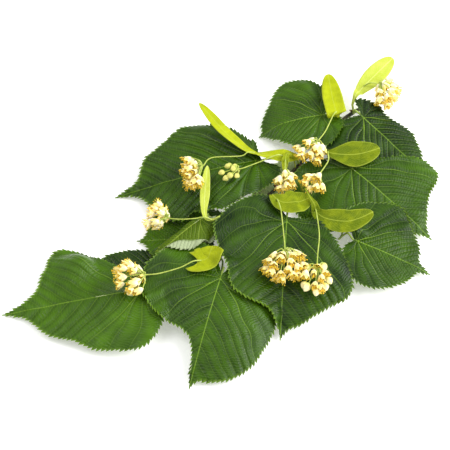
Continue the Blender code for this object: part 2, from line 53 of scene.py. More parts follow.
LAMPS = {
    "lamp_right": ((1.35, 0.05, 1.05), 1.5, 46.0),
    "lamp_left": ((-0.8, 0.15, 1.6), 0.8, 10.0),
}


def placed(name, data):
    """An object in the scene."""
    made = bpy.data.objects.new(name, data)
    bpy.context.collection.objects.link(made)
    return made


camera = placed("camera", bpy.data.cameras.new("camera"))
back = Vector((0.0, -math.cos(VIEW_FROM_LEVEL), math.sin(VIEW_FROM_LEVEL)))
camera.location = VIEW_TARGET + back * VIEW_DISTANCE
camera.rotation_euler = (-back).to_track_quat("-Z", "Y").to_euler()
camera.data.lens = LENS
bpy.context.scene.camera = camera
bpy.context.scene.view_settings.view_transform = "Standard"


def round_angles(count):
    """Angles in even steps once round."""
    return np.linspace(0, 2 * math.pi, count, endpoint=False)


turns = round_angles(TABLE_CORNERS)
table_mesh = bpy.data.meshes.new("table")
table_rim = [(TABLE_RADIUS * math.cos(t), TABLE_RADIUS * math.sin(t), 0.0) for t in turns]
table_mesh.from_pydata(table_rim, [], [tuple(range(TABLE_CORNERS))])
table_finish = bpy.data.materials.new("table")
table_finish.use_nodes = True
table_sockets = {
    "Base Color": TABLE_WHITE, "Roughness": TABLE_ROUGHNESS, "Emission Color": TABLE_WHITE,
    "Emission Strength": TABLE_GLOW}
for socket, value in table_sockets.items():
    table_finish.node_tree.nodes["Principled BSDF"].inputs[socket].default_value = value
table_mesh.materials.append(table_finish)
placed("table", table_mesh)

world = bpy.data.worlds.new("room")
bpy.context.scene.world = world
world.use_nodes = True
room = world.node_tree.nodes["Background"]
room.inputs["Color"].default_value = ROOM_WHITE
room.inputs["Strength"].default_value = ROOM_LIGHT
for lamp_name, (place, size, power) in LAMPS.items():
    lamp = bpy.data.lights.new(lamp_name, "AREA")
    lamp.size = size
    lamp.energy = power
    hung = placed(lamp_name, lamp)
    hung.location = place
    hung.rotation_euler = (-Vector(place)).to_track_quat("-Z", "Y").to_euler()

# The two lowest leaves
# Linden leaves are thin heart-shaped blades with a saw-toothed rim, and swell up between their sunken side
# veins. One lies turned over on the table and one nearly hidden. All sizes of the branch are in millimetres
# and all angles in degrees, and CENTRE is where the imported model's origin lies.
MM = 0.001
CENTRE = np.array((2.6, 9.2, 1.0))
WIDTH = 0.5
SHOULDER = 0.1
LOBE = 0.24
SHOULDER_REACH = 0.25
HOLLOW = 0.2
NOTCH = 0.04
SIDES = ("left", "right")
RIM_STEPS = (3, 4, 4, 2)
BLADE_THICK = 0.9
LONGEST_LOBE = 0.45
BEND_STEPS = 120
ROLL = 2
ROLL_STEPS = 12
LEAF_THICK = 0.35
TABLE_TOP = 1.05
REACH_ANGLES = (0, 8, 18, 30, 45, 62, 85, 110, 135, 180)
DRIP_ANGLE = 6.0
LEAST_TURN = 2.0
TOOTH = 4.0
TOOTH_DEPTH = 2.3
TOOTH_POINT = (0.0, 1.0, 0.62, 0.28)
TOOTH_LEAN = (0.0, 0.35, 0.1, 0.0)
TOOTH_SIZES = (0.65, 1.3)
TOOTH_BAND = 0.07
FADE_AT_TIP = 0.07
FADE_AT_NOTCH = 0.12
RINGS_EACH_MM = 0.45
FEWEST_RINGS = 26
RING_SPREAD = 0.9
VEIN_SLOPE = 0.9
VEIN_CURVE = 0.9
VEIN_WANDER = 0.35
BASE_SECTOR = math.radians(46)
NARROWEST_GAP = 0.5
WIDEST_GAP = 14.0
PLEAT = 0.62
GROOVE_DEPTH = 0.2
GROOVE_WIDTH = 1.8
RIPPLE = 0.6
RIM_RIPPLE = 1.3
RIPPLE_LENGTH = 16
MIDRIB_RELIEF = 0.7
MIDRIB_WIDTH = 0.7
STALK_RADIUS = 1.0
STALK_REACH = 5.0
SEAT_GAP = 0.5


def leaf(base, heading, length, left, right, **shape):
    """A leaf's sizes: where it meets its stalk, the way its tip points, its length, and for each half, seen
    from the stalk, how its width, shoulder and lobe compare with the usual ones and where it is widest. fold
    is how steeply each half leaves the midrib and curl how steeply it ends at its rim, beside the stalk and
    at the tip. pitch is the midrib's slope at the stalk, half way and at the tip, and swells are bumps: where
    they are, how high and how broad. reach_left and reach_right stretch the outline at REACH_ANGLES from the
    tip, and drip is the share of the length that the thin tip adds. tone is how light the leaf is, vein_gap
    how far its side veins stand apart on the midrib, pleat how strongly it swells between them, and pale how
    strongly a painted sheen greys the outer band of its left half."""
    usual = dict(
        pitch=(4, -6, -10), fold=((4, 4), (4, 4)), curl=((-12, -12), (-12, -12)), swells=(), finish="leaf",
        reach_left=(1,) * len(REACH_ANGLES), reach_right=(1,) * len(REACH_ANGLES), drip=0.03, tone=0.3,
        vein_gap=0.1, pleat=0.5, pale=0.0)
    own = dict(base=base, heading=heading, length=length, left=left, right=right)
    return {**usual, **own, **shape}


LEAVES = {
    "turned": leaf(
        (67, 62, 4), 218, 56, left=(0.9, 1, 1, 0.2), right=(0.8, 1, 1, 0.2), pitch=(0, 0, 0),
        finish="turned_leaf", seed=11),
    "hidden": leaf(
        (-53, -44, 2), 176, 68, left=(1, 1, 1, 0.2), right=(0.6, 1, 1, 0.3), pitch=(0, 0, 0), tone=0.1,
        seed=9),
}


class Wire:
    """An output among a finish's nodes. Sums on it add Math nodes."""

    def __init__(self, tree, output=None):
        self.tree = tree
        self.output = output

    def node(self, kind, settings, sockets, output=0):
        """Adds a node: its settings come first, then the values or wires of its sockets."""
        made = self.tree.nodes.new("ShaderNode" + kind)
        for setting, value in settings.items():
            setattr(made, setting, value)
        for socket, value in sockets.items():
            if isinstance(value, Wire):
                self.tree.links.new(value.output, made.inputs[socket])
            else:
                made.inputs[socket].default_value = value
        return Wire(self.tree, made.outputs[output])

    def math(self, operation, *values):
        return self.node("Math", {"operation": operation}, dict(enumerate(values)))

    def __add__(self, other):
        return self.math("ADD", self, other)

    def __sub__(self, other):
        return self.math("SUBTRACT", self, other)

    def __rsub__(self, other):
        return self.math("SUBTRACT", other, self)

    def __mul__(self, other):
        return self.math("MULTIPLY", self, other)

    __radd__ = __add__
    __rmul__ = __mul__

    def zigzag(self, height):
        """Rises from 0 to a height and falls back again and again."""
        return self.math("PINGPONG", self, height)

    def ramp(self, low, high):
        """Rises smoothly from 0 to 1 between two values."""
        sockets = {"Value": self, "From Min": low, "From Max": high}
        return self.node("MapRange", {"interpolation_type": "SMOOTHSTEP"}, sockets)

    def mix(self, share, first, second):
        """A share of the second colour over the first."""
        return self.node("Mix", {"data_type": "RGBA"}, {0: share, 6: first, 7: second}, 2)

    def coats(self, colour, *coats):
        """A colour with others laid over it one by one, each with its share."""
        for share, coat in coats:
            colour = self.mix(share, colour, coat)
        return colour

    def mark(self, name):
        """A number that the mesh holds at its points."""
        return self.node("Attribute", {"attribute_name": name}, {}, "Fac")

    def place(self):
        """The place on the piece, in metres."""
        return self.node("TexCoord", {}, {}, "Object")

    def mottle(self, size, detail=2.0):
        """Uneven patches of a size in millimetres, from 0 to 1."""
        sockets = {"Vector": self.place(), "Scale": 1 / (size * MM), "Detail": detail}
        return self.node("TexNoise", {}, sockets, "Fac").ramp(0.3, 0.7)

    def bump(self, height, depth):
        """The slope of a height from 0 to 1, with its depth in millimetres."""
        return self.node("Bump", {}, {"Height": height, "Distance": depth * MM})


def new_finish(name, roughness, specular):
    """A finish, its shader and a wire to start from."""
    made = bpy.data.materials.new(name)
    made.use_nodes = True
    shader = made.node_tree.nodes["Principled BSDF"]
    shader.inputs["Roughness"].default_value = roughness
    shader.inputs["Specular IOR Level"].default_value = specular
    return made, shader, Wire(made.node_tree)


def feed(shader, **wires):
    """Leads wires to the shader's sockets."""
    for socket, wire in wires.items():
        wire.tree.links.new(wire.output, shader.inputs[socket.replace("_", " ")])


def paint(red, green, blue):
    """A colour from its usual scale of 0 to 255."""
    shares = np.array((red, green, blue)) / 255
    linear = np.where(shares > 0.04045, ((shares + 0.055) / 1.055) ** 2.4, shares / 12.92)
    return (*linear, 1.0)


# A pale grey green painted over a curled-down rim as its sheen.
PAINTED_CURL_SHEEN = paint(168, 180, 142)


def leaf_finish(name, deep, light, vein, roughness, specular, vein_share):
    """A blade's face: two greens, paler veins, painted shade along the sunken side veins, a painted highlight
    on the swells between them and along the rim, a painted sheen where a rim curls down, and fine quilting
    between the side veins.
    """
    made, shader, start = new_finish(name, roughness, specular)
    lateral, gap, rim = (start.mark(mark) for mark in ("lateral", "gap", "rim"))
    between = lateral.zigzag(0.5)
    side_vein = 1 - (between * gap).ramp(0.08, 0.46)
    first_vein = 1 - (lateral.math("ABSOLUTE", lateral) * gap).ramp(0.15, 0.6)
    midrib = 1 - start.mark("across").ramp(0.25, 0.65)
    rung = (start.mark("reach") + start.mottle(9.0) * 2.2).zigzag(1.2)
    cross_vein = (1 - rung.ramp(0.05, 0.45)) * between.ramp(0.02, 0.12)
    patches = start.mottle(30.0) * 0.7 + start.mottle(11.0) * 0.3
    colour = start.coats(
        start.mix(start.mark("tone") + patches * 0.4 - 0.2, deep, light),
        # painted shade: the deep green darkens the sunken grooves along the side veins
        ((1 - between.ramp(0.0, 0.42)) * 0.24, deep),
        # painted highlight: the light green lightens the swells between the side veins and their rungs
        (between.ramp(0.2, 0.5) * rung.ramp(0.3, 1.2) * 0.3, light),
        (cross_vein * 0.2 * vein_share, vein),
        (side_vein * (1.05 - rim * 0.75) * 0.8 * vein_share, vein),
        (first_vein * (1.1 - rim) * vein_share, vein),
        (midrib * (1.25 - rim * 0.6) * vein_share, vein),
        # painted highlight: a thin pale line in the vein colour along the rim
        (rim.ramp(0.975, 1.0) * 0.55, vein),
        # painted sheen: the pale grey green over the curled-down outer band of the left half
        (start.mark("pale"), PAINTED_CURL_SHEEN))
    height = between.ramp(0.0, 0.35) * 0.5 + rung.ramp(0.0, 1.2) * 0.3 + start.mottle(0.9, 3.0) * 0.14
    gloss = roughness + start.mottle(12.0) * 0.2 - 0.08
    feed(shader, Base_Color=colour, Roughness=gloss, Normal=start.bump(height, 0.6))
    return made


LEAF_FINISHES = {
    "leaf": leaf_finish(
        "leaf_green", paint(0, 26, 0), paint(74, 115, 0), paint(122, 156, 46), 0.31, 0.2, 0.6),
    "young_leaf": leaf_finish(
        "young_leaf_green", paint(40, 70, 0), paint(100, 124, 6), paint(146, 166, 60), 0.4, 0.14, 0.6),
    "turned_leaf": leaf_finish(
        "leaf_back", paint(128, 146, 96), paint(160, 174, 124), paint(190, 200, 150), 0.7, 0.2, 0.8),
}


class Heap:
    """How high each piece laid so far reaches, so that the next piece rests on them."""

    CELL = 2.0
    HALF = 260.0
    REACH = 3
    CLEARANCE = 2.0
    SOFTNESS = 1.2

    def __init__(self):
        self.cells = int(2 * self.HALF / self.CELL)
        self.layers = {}

    def place(self, x, y):
        return (x + self.HALF) / self.CELL - 0.5, (y + self.HALF) / self.CELL - 0.5

    def add(self, name, points, band=()):
        """Takes in the points of a laid piece. A band widens a thin one."""
        points = np.vstack([points + (dx, dy, 0) for dx in (0, *band) for dy in (0, *band)])
        layer = np.zeros((self.cells, self.cells))
        cells = np.rint(self.place(points[:, 0], points[:, 1])).astype(int).clip(0, self.cells - 1)
        np.maximum.at(layer, tuple(cells), points[:, 2])
        self.layers[name] = layer

    def surface(self, without):
        """The heap's top, spread sideways and smoothed, with some pieces left out."""
        layers = [layer for name, layer in self.layers.items() if name not in without]
        top = np.max([np.zeros((self.cells, self.cells)), *layers], 0)
        for blend in [np.max] * self.REACH + [np.mean] * (self.REACH - 1):
            wide = np.pad(top, 1, mode="edge")
            sides = [wide[2:, 1:-1], wide[:-2, 1:-1], wide[1:-1, 2:], wide[1:-1, :-2]]
            top = blend([top, *sides], axis=0)
        return top

    def rest(self, points, half_thick, without=()):
        """The points, lifted smoothly wherever they would come lower than the heap allows."""
        surface = self.surface(without)
        i, j = (v.clip(0, self.cells - 1.001) for v in self.place(points[..., 0], points[..., 1]))
        m, n = i.astype(int), j.astype(int)
        u, v = i - m, j - n
        low = surface[m, n] * (1 - v) + surface[m, n + 1] * v
        high = surface[m + 1, n] * (1 - v) + surface[m + 1, n + 1] * v
        height = low * (1 - u) + high * u
        floor = height + half_thick + np.where(height > 0.1, self.CLEARANCE, 0.0)
        lifted = points.copy()
        soft = self.SOFTNESS
        lifted[..., 2] = np.logaddexp(points[..., 2] / soft, floor / soft) * soft
        return lifted


def half_rim(shape, steps):
    """Points of a half outline from the tip to the notch, along and across, in shares of the length."""
    width, shoulder, lobe, widest = shape[0] * WIDTH, shape[1] * SHOULDER, shape[2] * LOBE, shape[3]
    reach = SHOULDER_REACH * min(1, shape[1])
    hollow = HOLLOW * max(0, 1 - shape[1])
    behind = 0.5 + 0.3 * shape[2]
    bends = (
        ((1.0, 0.0), (0.93, 0.01), (0.90, 0.03), (0.85, shoulder)),
        ((0.85, shoulder), (0.76 - hollow, 2.3 * shoulder), (widest + reach, width), (widest, width)),
        ((widest, width), (widest - 0.2, width), (-0.9 * lobe, behind * width), (-lobe, 0.44 * width)),
        ((-lobe, 0.44 * width), (-1.05 * lobe, 0.2 * width), (-0.5 * lobe, 0.06), (-NOTCH, 0.0)),
    )
    points = []
    for bend, count in zip(bends, steps):
        a, b, c, d = np.array(bend)
        for t in np.linspace(0, 1, count, endpoint=False):
            s = 1 - t
            points.append(a * s**3 + 3 * b * s * s * t + 3 * c * s * t * t + d * t**3)
    return np.array([*points, (-NOTCH, 0.0)])


def run_along(path):
    """How far along a path each of its points lies."""
    return np.concatenate([[0], np.cumsum(np.linalg.norm(np.diff(path, axis=0), axis=1))])


def even_steps(path, count):
    """Places in even steps along a path, and how far along it each of them lies."""
    run = run_along(path)
    wanted = np.linspace(0, run[-1], count + 1)
    return np.stack([np.interp(wanted, run, part) for part in path.T], 1), wanted


def unit(ways):
    """A direction, or each of several, with a length of 1."""
    return ways / np.maximum(np.linalg.norm(ways, axis=-1, keepdims=True), 1e-12)


def toothed_rim(sizes, side, draw):
    """A half outline in even steps, four to a tooth, and how far each of its points is moved by the teeth."""
    smooth = half_rim(sizes[side], (30, 60, 60, 30))
    least = np.linspace(0, LEAST_TURN, len(smooth))
    angles = np.degrees(np.arctan2(smooth[:, 1], smooth[:, 0])) - least
    angles = np.maximum.accumulate(angles) + least
    turns = np.radians(angles.clip(0, 180))
    smooth = np.linalg.norm(smooth, axis=1)[:, None] * np.stack([np.cos(turns), np.sin(turns)], 1)
    reach = np.interp(np.linspace(0, 180, 181), REACH_ANGLES, sizes["reach_" + side])
    reach = np.convolve(np.pad(reach, 3, mode="edge"), np.full(7, 1 / 7), "valid")
    smooth = smooth * np.interp(angles, np.linspace(0, 180, 181), reach)[:, None]
    smooth = smooth * (1 + sizes["drip"] * (1 - angles / DRIP_ANGLE).clip(0, 1) ** 2)[:, None]
    teeth = int(round(run_along(smooth)[-1] * sizes["length"] / TOOTH))
    rim, run = even_steps(smooth, len(TOOTH_POINT) * teeth)
    way = unit(np.gradient(rim, axis=0))
    outward = np.stack([way[:, 1], -way[:, 0]], 1)
    share = run / run[-1]
    size = np.append(np.repeat(draw.uniform(*TOOTH_SIZES, teeth), len(TOOTH_POINT)), 0.0)
    size *= (share / FADE_AT_TIP).clip(0, 1) ** 0.7 * ((1 - share) / FADE_AT_NOTCH).clip(0, 1)
    point = np.append(np.tile(TOOTH_POINT, teeth), 0.0) * size * TOOTH_DEPTH / sizes["length"]
    lean = np.append(np.tile(TOOTH_LEAN, teeth), 0.0) * size * TOOTH / sizes["length"]
    return rim, outward * point[:, None] - way * lean[:, None]


def toothed_share(rim):
    """How far into the outermost band of a blade each of its points lies."""
    return ((rim - 1 + TOOTH_BAND) / TOOTH_BAND).clip(0, 1)


def flat_blade(rims, shares):
    """Flat places over a blade: one row for each share of the way from its base to its rim."""
    left, right = rims
    around = np.vstack([left, right[-2:0:-1] * (1, -1)])
    return np.array(shares)[:, None, None] * around[None]


def rolled(fold, curl, share):
    """How far a line gets, across and up, that leaves the midrib at one angle and rolls towards another."""
    steps = (np.arange(ROLL_STEPS) + 0.5) / ROLL_STEPS
    angles = fold[..., None] + (curl - fold)[..., None] * (share[..., None] * steps) ** ROLL
    return share * np.cos(angles).mean(-1), share * np.sin(angles).mean(-1)


def by_side(angles, is_left, along):
    """An angle that differs between a blade's halves and changes evenly from its stalk to its tip."""
    by_stalk, by_tip = (np.where(is_left, angles[0][end], angles[1][end]) for end in (0, 1))
    return by_stalk + (by_tip - by_stalk) * along.clip(0, 1)


def bend_blade(sizes, flat):
    """Flat places of a blade bent along its midrib, folded and curled across it, and set in their place."""
    length = sizes["length"]
    along, across = flat[..., 0], flat[..., 1]
    t = np.linspace(-LONGEST_LOBE, 1.05, BEND_STEPS)
    first, middle, last = np.radians(sizes["pitch"])
    u = t.clip(0, 1)
    pitch = first * (1 - u) * (1 - 2 * u) + 4 * middle * u * (1 - u) + last * u * (2 * u - 1)
    step = t[1] - t[0]
    way = np.cumsum(np.cos(pitch)) * step
    rise = np.cumsum(np.sin(pitch)) * step
    way -= np.interp(0, t, way)
    rise -= np.interp(0, t, rise)
    tilt = np.interp(along, t, pitch)
    is_left = across >= 0
    side = np.where(is_left, 1.0, -1.0)
    half = WIDTH * np.where(is_left, sizes["left"][0], sizes["right"][0])
    fold, curl = (np.radians(by_side(sizes[bend], is_left, along)) for bend in ("fold", "curl"))
    out, up = rolled(fold, curl, np.abs(across) / half)
    out, up = out * half * side, up * half
    x = np.interp(along, t, way) - np.sin(tilt) * up
    z = np.interp(along, t, rise) + np.cos(tilt) * up
    for at_along, at_across, height, spread in sizes["swells"]:
        z = z + height / length * np.exp(-((along - at_along) ** 2 + (across - at_across) ** 2) / spread**2)
    heading = math.radians(sizes["heading"])
    x, out = x * math.cos(heading) - out * math.sin(heading), x * math.sin(heading) + out * math.cos(heading)
    return np.stack([x, out, z], -1) * length + sizes["base"]


def side_veins(flat, vein_gap):
    """Which side vein each flat place lies by: the count grows evenly from vein to vein, up the midrib from
    the first pair and down into the lobes, where each second vein branches off the one above it."""
    across = np.abs(flat[:, 1])
    ahead = flat[:, 0] - VEIN_CURVE * across**2
    up_midrib = (ahead - VEIN_SLOPE * across) / vein_gap
    sector = (np.arctan2(across, ahead) - math.atan(1 / VEIN_SLOPE)) / BASE_SECTOR
    whole = np.floor(sector)
    part = sector - whole
    branch = 0.5 * ((np.hypot(across, ahead) - 0.06) / 0.24).clip(0.03, 1)
    counted = 2 * whole + np.where(part < branch, part / branch, 1 + (part - branch) / (1 - branch))
    return np.where(up_midrib >= 0, up_midrib, -counted)


def grid_normals(points, faces):
    """The way out of a surface at each of its points. A triangle repeats its first corner."""
    a, b, c, d = (points[faces[:, k]] for k in range(4))
    outward = np.cross(c - a, d - b)
    normals = np.zeros_like(points)
    for k in range(4):
        np.add.at(normals, faces[:, k], outward)
    return unit(normals)


def closed_sheet(points, faces, edge, above, below):
    """A closed sheet about a middle surface, with its thickness above and below it at each point."""
    normals = grid_normals(points, faces)
    count = len(points)
    above, below = (np.broadcast_to(thick, count)[:, None] for thick in (above, below))
    both = np.vstack([points + normals * above, points - normals * below])
    edge = np.array(edge)
    onward = np.roll(edge, -1)
    strip = np.stack([onward, edge, edge + count, onward + count], 1)
    closed = np.vstack([faces, faces[:, ::-1] + count, strip])
    kinds = np.repeat((0, 1, 0), (len(faces), len(faces), len(strip)))
    return both, closed, kinds


def ring_faces(first, rings, around):
    """The faces between rings of points that follow each other, the numbers of the first ring's points and
    those of the points next to them."""
    turn = np.arange(around)
    onward = np.roll(turn, -1)
    start = first + around * np.arange(rings - 1)[:, None]
    corners = [start + turn, start + turn + around, start + onward + around, start + onward]
    return np.stack(corners, -1).reshape(-1, 4), turn, onward


def make_piece(name, node, slot, points, faces, finishes, kinds=None, **marks):
    """A finished piece from points in millimetres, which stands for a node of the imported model. A mark for
    one face of a sheet holds for its other face too."""
    mesh = bpy.data.meshes.new(name)
    corners = [face[:3] if face[3] in face[:3] else face for face in np.asarray(faces).tolist()]
    corners = [face if face[0] != face[1] else face[1:] for face in corners]
    mesh.from_pydata(((points - CENTRE) * MM).tolist(), [], corners)
    mesh.shade_smooth()
    for finish in finishes:
        mesh.materials.append(finish)
    if kinds is not None:
        mesh.polygons.foreach_set("material_index", np.asarray(kinds, np.int32))
    for mark, values in marks.items():
        values = np.resize(np.asarray(values, np.float32), len(points))
        mesh.attributes.new(mark, "FLOAT", "POINT").data.foreach_set("value", values)
    made = placed(name, mesh)
    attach(made, "root")
    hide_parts(node)


def behind_notch(sizes, without):
    """Where a stalk ends just clear of the notch of its blade, and a place straight behind that."""
    rims = [half_rim(sizes[side], RIM_STEPS) for side in SIDES]
    slope = max(abs((-NOTCH - rim[-2][0]) / rim[-2][1]) for rim in rims)
    behind = NOTCH + (slope * STALK_RADIUS + math.hypot(1, slope) * SEAT_GAP) / sizes["length"]
    reach = behind + STALK_REACH / sizes["length"]
    return heap.rest(bend_blade(sizes, np.array([[-reach, 0.0], [-behind, 0.0]])), BLADE_THICK / 2, without)


def uneven(places, seed):
    """Smooth random heights at flat places."""
    return np.array([noise.noise(Vector((*place, seed))) for place in places])


def vein_gaps(flat, lateral, vein_gap, length):
    """How far the side veins stand apart at each flat place, in millimetres."""
    step = 0.002
    slopes = [side_veins(flat + np.where(flat[:, 1:] < 0, -1, 1) * move, vein_gap) - lateral
              for move in ((0.0, step), (step, 0.0))]
    gap = step * length / np.maximum(np.minimum(np.hypot(*slopes), 1.0), 1e-6)
    return gap.clip(NARROWEST_GAP, WIDEST_GAP)


def lay_leaf(name, beneath=()):
    """Lays a leaf on the heap, without regard to the pieces that it lies beneath."""
    sizes = LEAVES[name]
    length = sizes["length"]
    seed = sizes["seed"]
    own = ("stalk_" + name, *beneath)
    draw = np.random.default_rng(seed)
    left, right = (toothed_rim(sizes, side, draw) for side in SIDES)
    rings = max(FEWEST_RINGS, int(RINGS_EACH_MM * length))
    rows = np.linspace(0, 1, rings + 1)[1:] ** RING_SPREAD
    flat = flat_blade((left[0], right[0]), rows) + flat_blade((left[1], right[1]), toothed_share(rows))
    around = flat.shape[1]
    flat = np.vstack([np.zeros((1, 2)), flat.reshape(-1, 2)])
    points = heap.rest(bend_blade(sizes, flat), BLADE_THICK / 2, own)
    faces, turn, onward = ring_faces(1, rings, around)
    faces = np.vstack([np.stack([0 * turn, 1 + turn, 1 + onward, 0 * turn], 1), faces])
    across = np.abs(flat[:, 1]) * length
    reach = np.linalg.norm(flat, axis=1) * length
    rim = np.concatenate([[0.0], np.repeat(rows, around)])
    lateral = side_veins(flat, sizes["vein_gap"])
    gap = vein_gaps(flat, lateral, sizes["vein_gap"], length)
    wander = uneven(flat * 4.5, seed * 1.9)
    swell = np.abs(np.sin(math.pi * lateral)) ** 0.8 * (gap / 6.5).clip(0, 1) * (across / 3.0).clip(0, 1)
    swell = PLEAT * sizes["pleat"] * (swell * (0.9 + 1.4 * wander))
    groove = GROOVE_DEPTH * (np.exp(-((across / GROOVE_WIDTH) ** 2)) * (1 - rim))
    ripple = (RIPPLE + RIM_RIPPLE * rim**3) * (uneven(flat * length / RIPPLE_LENGTH, seed * 3.7) + 0.15)
    points = points + grid_normals(points, faces) * (swell - groove + ripple)[:, None]
    points[:, 2] = points[:, 2].clip(TABLE_TOP + LEAF_THICK / 2)
    thick = LEAF_THICK / 2 * (1 - 0.5 * toothed_share(rim))
    rib = np.exp(-((across / MIDRIB_WIDTH) ** 2)) * (1 - 0.8 * rim)
    edge = np.arange(len(points) - around, len(points))[::-1]
    points, faces, kinds = closed_sheet(points, faces, edge, thick, thick + MIDRIB_RELIEF * rib)
    points[:, 2] = points[:, 2].clip(TABLE_TOP)
    lateral = lateral + VEIN_WANDER * wander * (across / 12).clip(0, 1)
    # Painted sheen: how strongly the pale grey green covers the outer band of the left half.
    pale = sizes["pale"] * (flat[:, 1] > 0) * ((rim - 0.74) / 0.06).clip(0, 1)
    finishes = [LEAF_FINISHES[sizes["finish"]], LEAF_FINISHES["turned_leaf"]]
    make_piece(
        "blade_" + name, "leaf_" + name, sizes["finish"], points, faces, finishes, kinds, tone=sizes["tone"],
        lateral=lateral, gap=gap, across=across, reach=reach, rim=rim, pale=pale)
    notches[name] = behind_notch(sizes, own)
    dense = [half_rim(sizes[side], (12, 24, 24, 12)) for side in SIDES]
    dense = bend_blade(sizes, flat_blade(dense, np.linspace(0, 1, 60))).reshape(-1, 3)
    dense = heap.rest(dense, BLADE_THICK / 2, own)
    heap.add("leaf_" + name, dense + (0, 0, BLADE_THICK / 2))


heap = Heap()
notches = {}
lay_leaf("turned")
lay_leaf("hidden")

# The twig and its side shoot
# This year's wood is a dark, slightly zigzag rod with small pale pores, swollen where a leaf stands, and it
# ends in a bud. Its thick end was cut off square and shows pale wood. The side shoot grows out of its side.
TWIG_ROUTE = (
    (136, 145, 4), (121, 134, 6), (106, 118, 8), (89, 91, 10), (72, 73, 11), (49, 44, 11), (33, 28, 10),
    (14, 5, 9), (2, -16, 8), (-5, -35, 8),
)
SHOOT_ROUTE = ((98, 101, 8), (103, 78, 5), (107, 51, 4), (111, 28, 4), (114, 14, 4))
TWIG_RADIUS = (1.9, 1.1)
SHOOT_RADIUS = (1.2, 0.9)
TWIG_JOINTS = ((125, 131), (107, 126), (89, 73), (66, 71), (54, 38), (20, 12), (0, -12), (110, 11), (100, 98))
WOOD_STEPS_EACH_MM = 1.1
WOOD_SIDES = 22
SEAT_STEPS = 160
BAND = (-4.0, 4.0)
JOINT_SWELL = 0.55
JOINT_LENGTH = 3.0
BARK_RELIEF = 0.11
END_BUD = (5.0, 1.7)
SIDE_BUD = (3.8, 1.2)


def smooth_route(route, steps):
    """Points evenly along a smooth curve through a route's own points."""
    route = np.asarray(route, float)
    ends = np.vstack([2 * route[0] - route[1], route, 2 * route[-1] - route[-2]])
    curve = []
    for k in range(len(route) - 1):
        a, b, c, d = ends[k : k + 4]
        for t in np.linspace(0, 1, 16, endpoint=False):
            square, cube = 2 * a - 5 * b + 4 * c - d, 3 * b - a - 3 * c + d
            curve.append(0.5 * (2 * b + (c - a) * t + square * t**2 + cube * t**3))
    return even_steps(np.array([*curve, route[-1]]), steps)[0]


def tube(path, radii, sides):
    """Points and faces of a round limb along a path, closed at both ends; radii may differ round it."""
    along = unit(np.gradient(path, axis=0))
    side = unit(np.cross(along[0], (0.13, 0.21, 1.0)))
    turns = round_angles(sides)
    radii = np.broadcast_to(np.transpose(radii), (sides, len(path))).T
    rows = []
    for point, way, wide in zip(path, along, radii):
        side = unit(side - way * (side @ way))
        up = np.cross(side, way)
        rows.append(point + wide[:, None] * (np.cos(turns)[:, None] * side + np.sin(turns)[:, None] * up))
    points = np.vstack([*rows, path[:1], path[-1:]])
    faces, turn, onward = ring_faces(0, len(path), sides)
    first = np.full(sides, len(points) - 2)
    last = first + 1
    start = (len(path) - 1) * sides
    ends = [
        np.stack([first, onward, turn, first], 1), np.stack([last, start + turn, start + onward, last], 1)]
    return points, np.vstack([faces[:, [0, 3, 2, 1]], *ends])


def join(parts):
    """Several meshes as one. Each has points, faces, a kind for its faces and an outward share for its
    points."""
    points, faces, kinds, outs, count = [], [], [], [], 0
    for part_points, part_faces, kind, out in parts:
        points.append(part_points)
        faces.append(part_faces + count)
        kinds.append(np.broadcast_to(kind, len(part_faces)))
        outs.append(np.broadcast_to(out, len(part_points)))
        count += len(part_points)
    return np.vstack(points), np.vstack(faces), np.concatenate(kinds), np.concatenate(outs)


def bark_finish():
    """Dark greenish brown bark in uneven patches, with small pale pores."""
    made, shader, start = new_finish("bark", 0.55, 0.35)
    patches = start.mottle(7.0)
    pores = {"Vector": start.place(), "Scale": 1 / (2.6 * MM)}
    pore = 1 - start.node("TexVoronoi", {"feature": "F1"}, pores, "Distance").ramp(0.1, 0.22)
    brown = start.mix(patches, paint(38, 46, 16), paint(66, 60, 34))
    spotted = start.mix(pore * 0.55, brown, paint(150, 138, 100))
    height = start.mottle(0.8, 3.0) * 0.6 + pore * 0.5
    feed(shader, Base_Color=spotted, Normal=start.bump(height, 0.25))
    return made


def cut_wood_finish():
    """Pale fresh wood with a fine, slightly darker grain."""
    made, shader, start = new_finish("cut_wood", 0.75, 0.2)
    grain = start.mottle(0.5, 3.0)
    pale = start.mix(grain, paint(214, 204, 150), paint(178, 176, 108))
    feed(shader, Base_Color=pale, Normal=start.bump(grain, 0.1))
    return made


def bud_finish():
    """Smooth bud scales, olive with red patches."""
    made, shader, start = new_finish("bud", 0.4, 0.4)
    red = start.mix(start.mottle(2.2), paint(96, 92, 28), paint(120, 52, 30))
    feed(shader, Base_Color=red, Normal=start.bump(start.mottle(1.1), 0.15))
    return made


WOOD_FINISHES = [bark_finish(), cut_wood_finish(), bud_finish()]


def seat(wood, towards, stand_off):
    """The place beside a wooden limb's middle line that faces a point, and the way out of the limb there."""
    path, radii = woods[wood]
    k = int(np.argmin(np.linalg.norm(path - towards, axis=1)))
    along = unit(path[min(k + 1, len(path) - 1)] - path[max(k - 1, 0)])
    out = np.asarray(towards, float) - path[k]
    out = unit(out - along * (out @ along))
    return path[k] + out * (radii[k] + stand_off), out


def bud(foot, way, length, radius):
    """A pointed bud on a foot."""
    share = np.linspace(0, 1, 14)
    wide = radius * np.sin(math.pi * share**0.75) ** 0.8 * (1 - 0.35 * share) + 0.12
    ridges = 1 + 0.06 * np.cos(3 * round_angles(14))
    return (*tube(foot + unit(way) * (length * share)[:, None], wide[:, None] * ridges, 14), 2, 0)


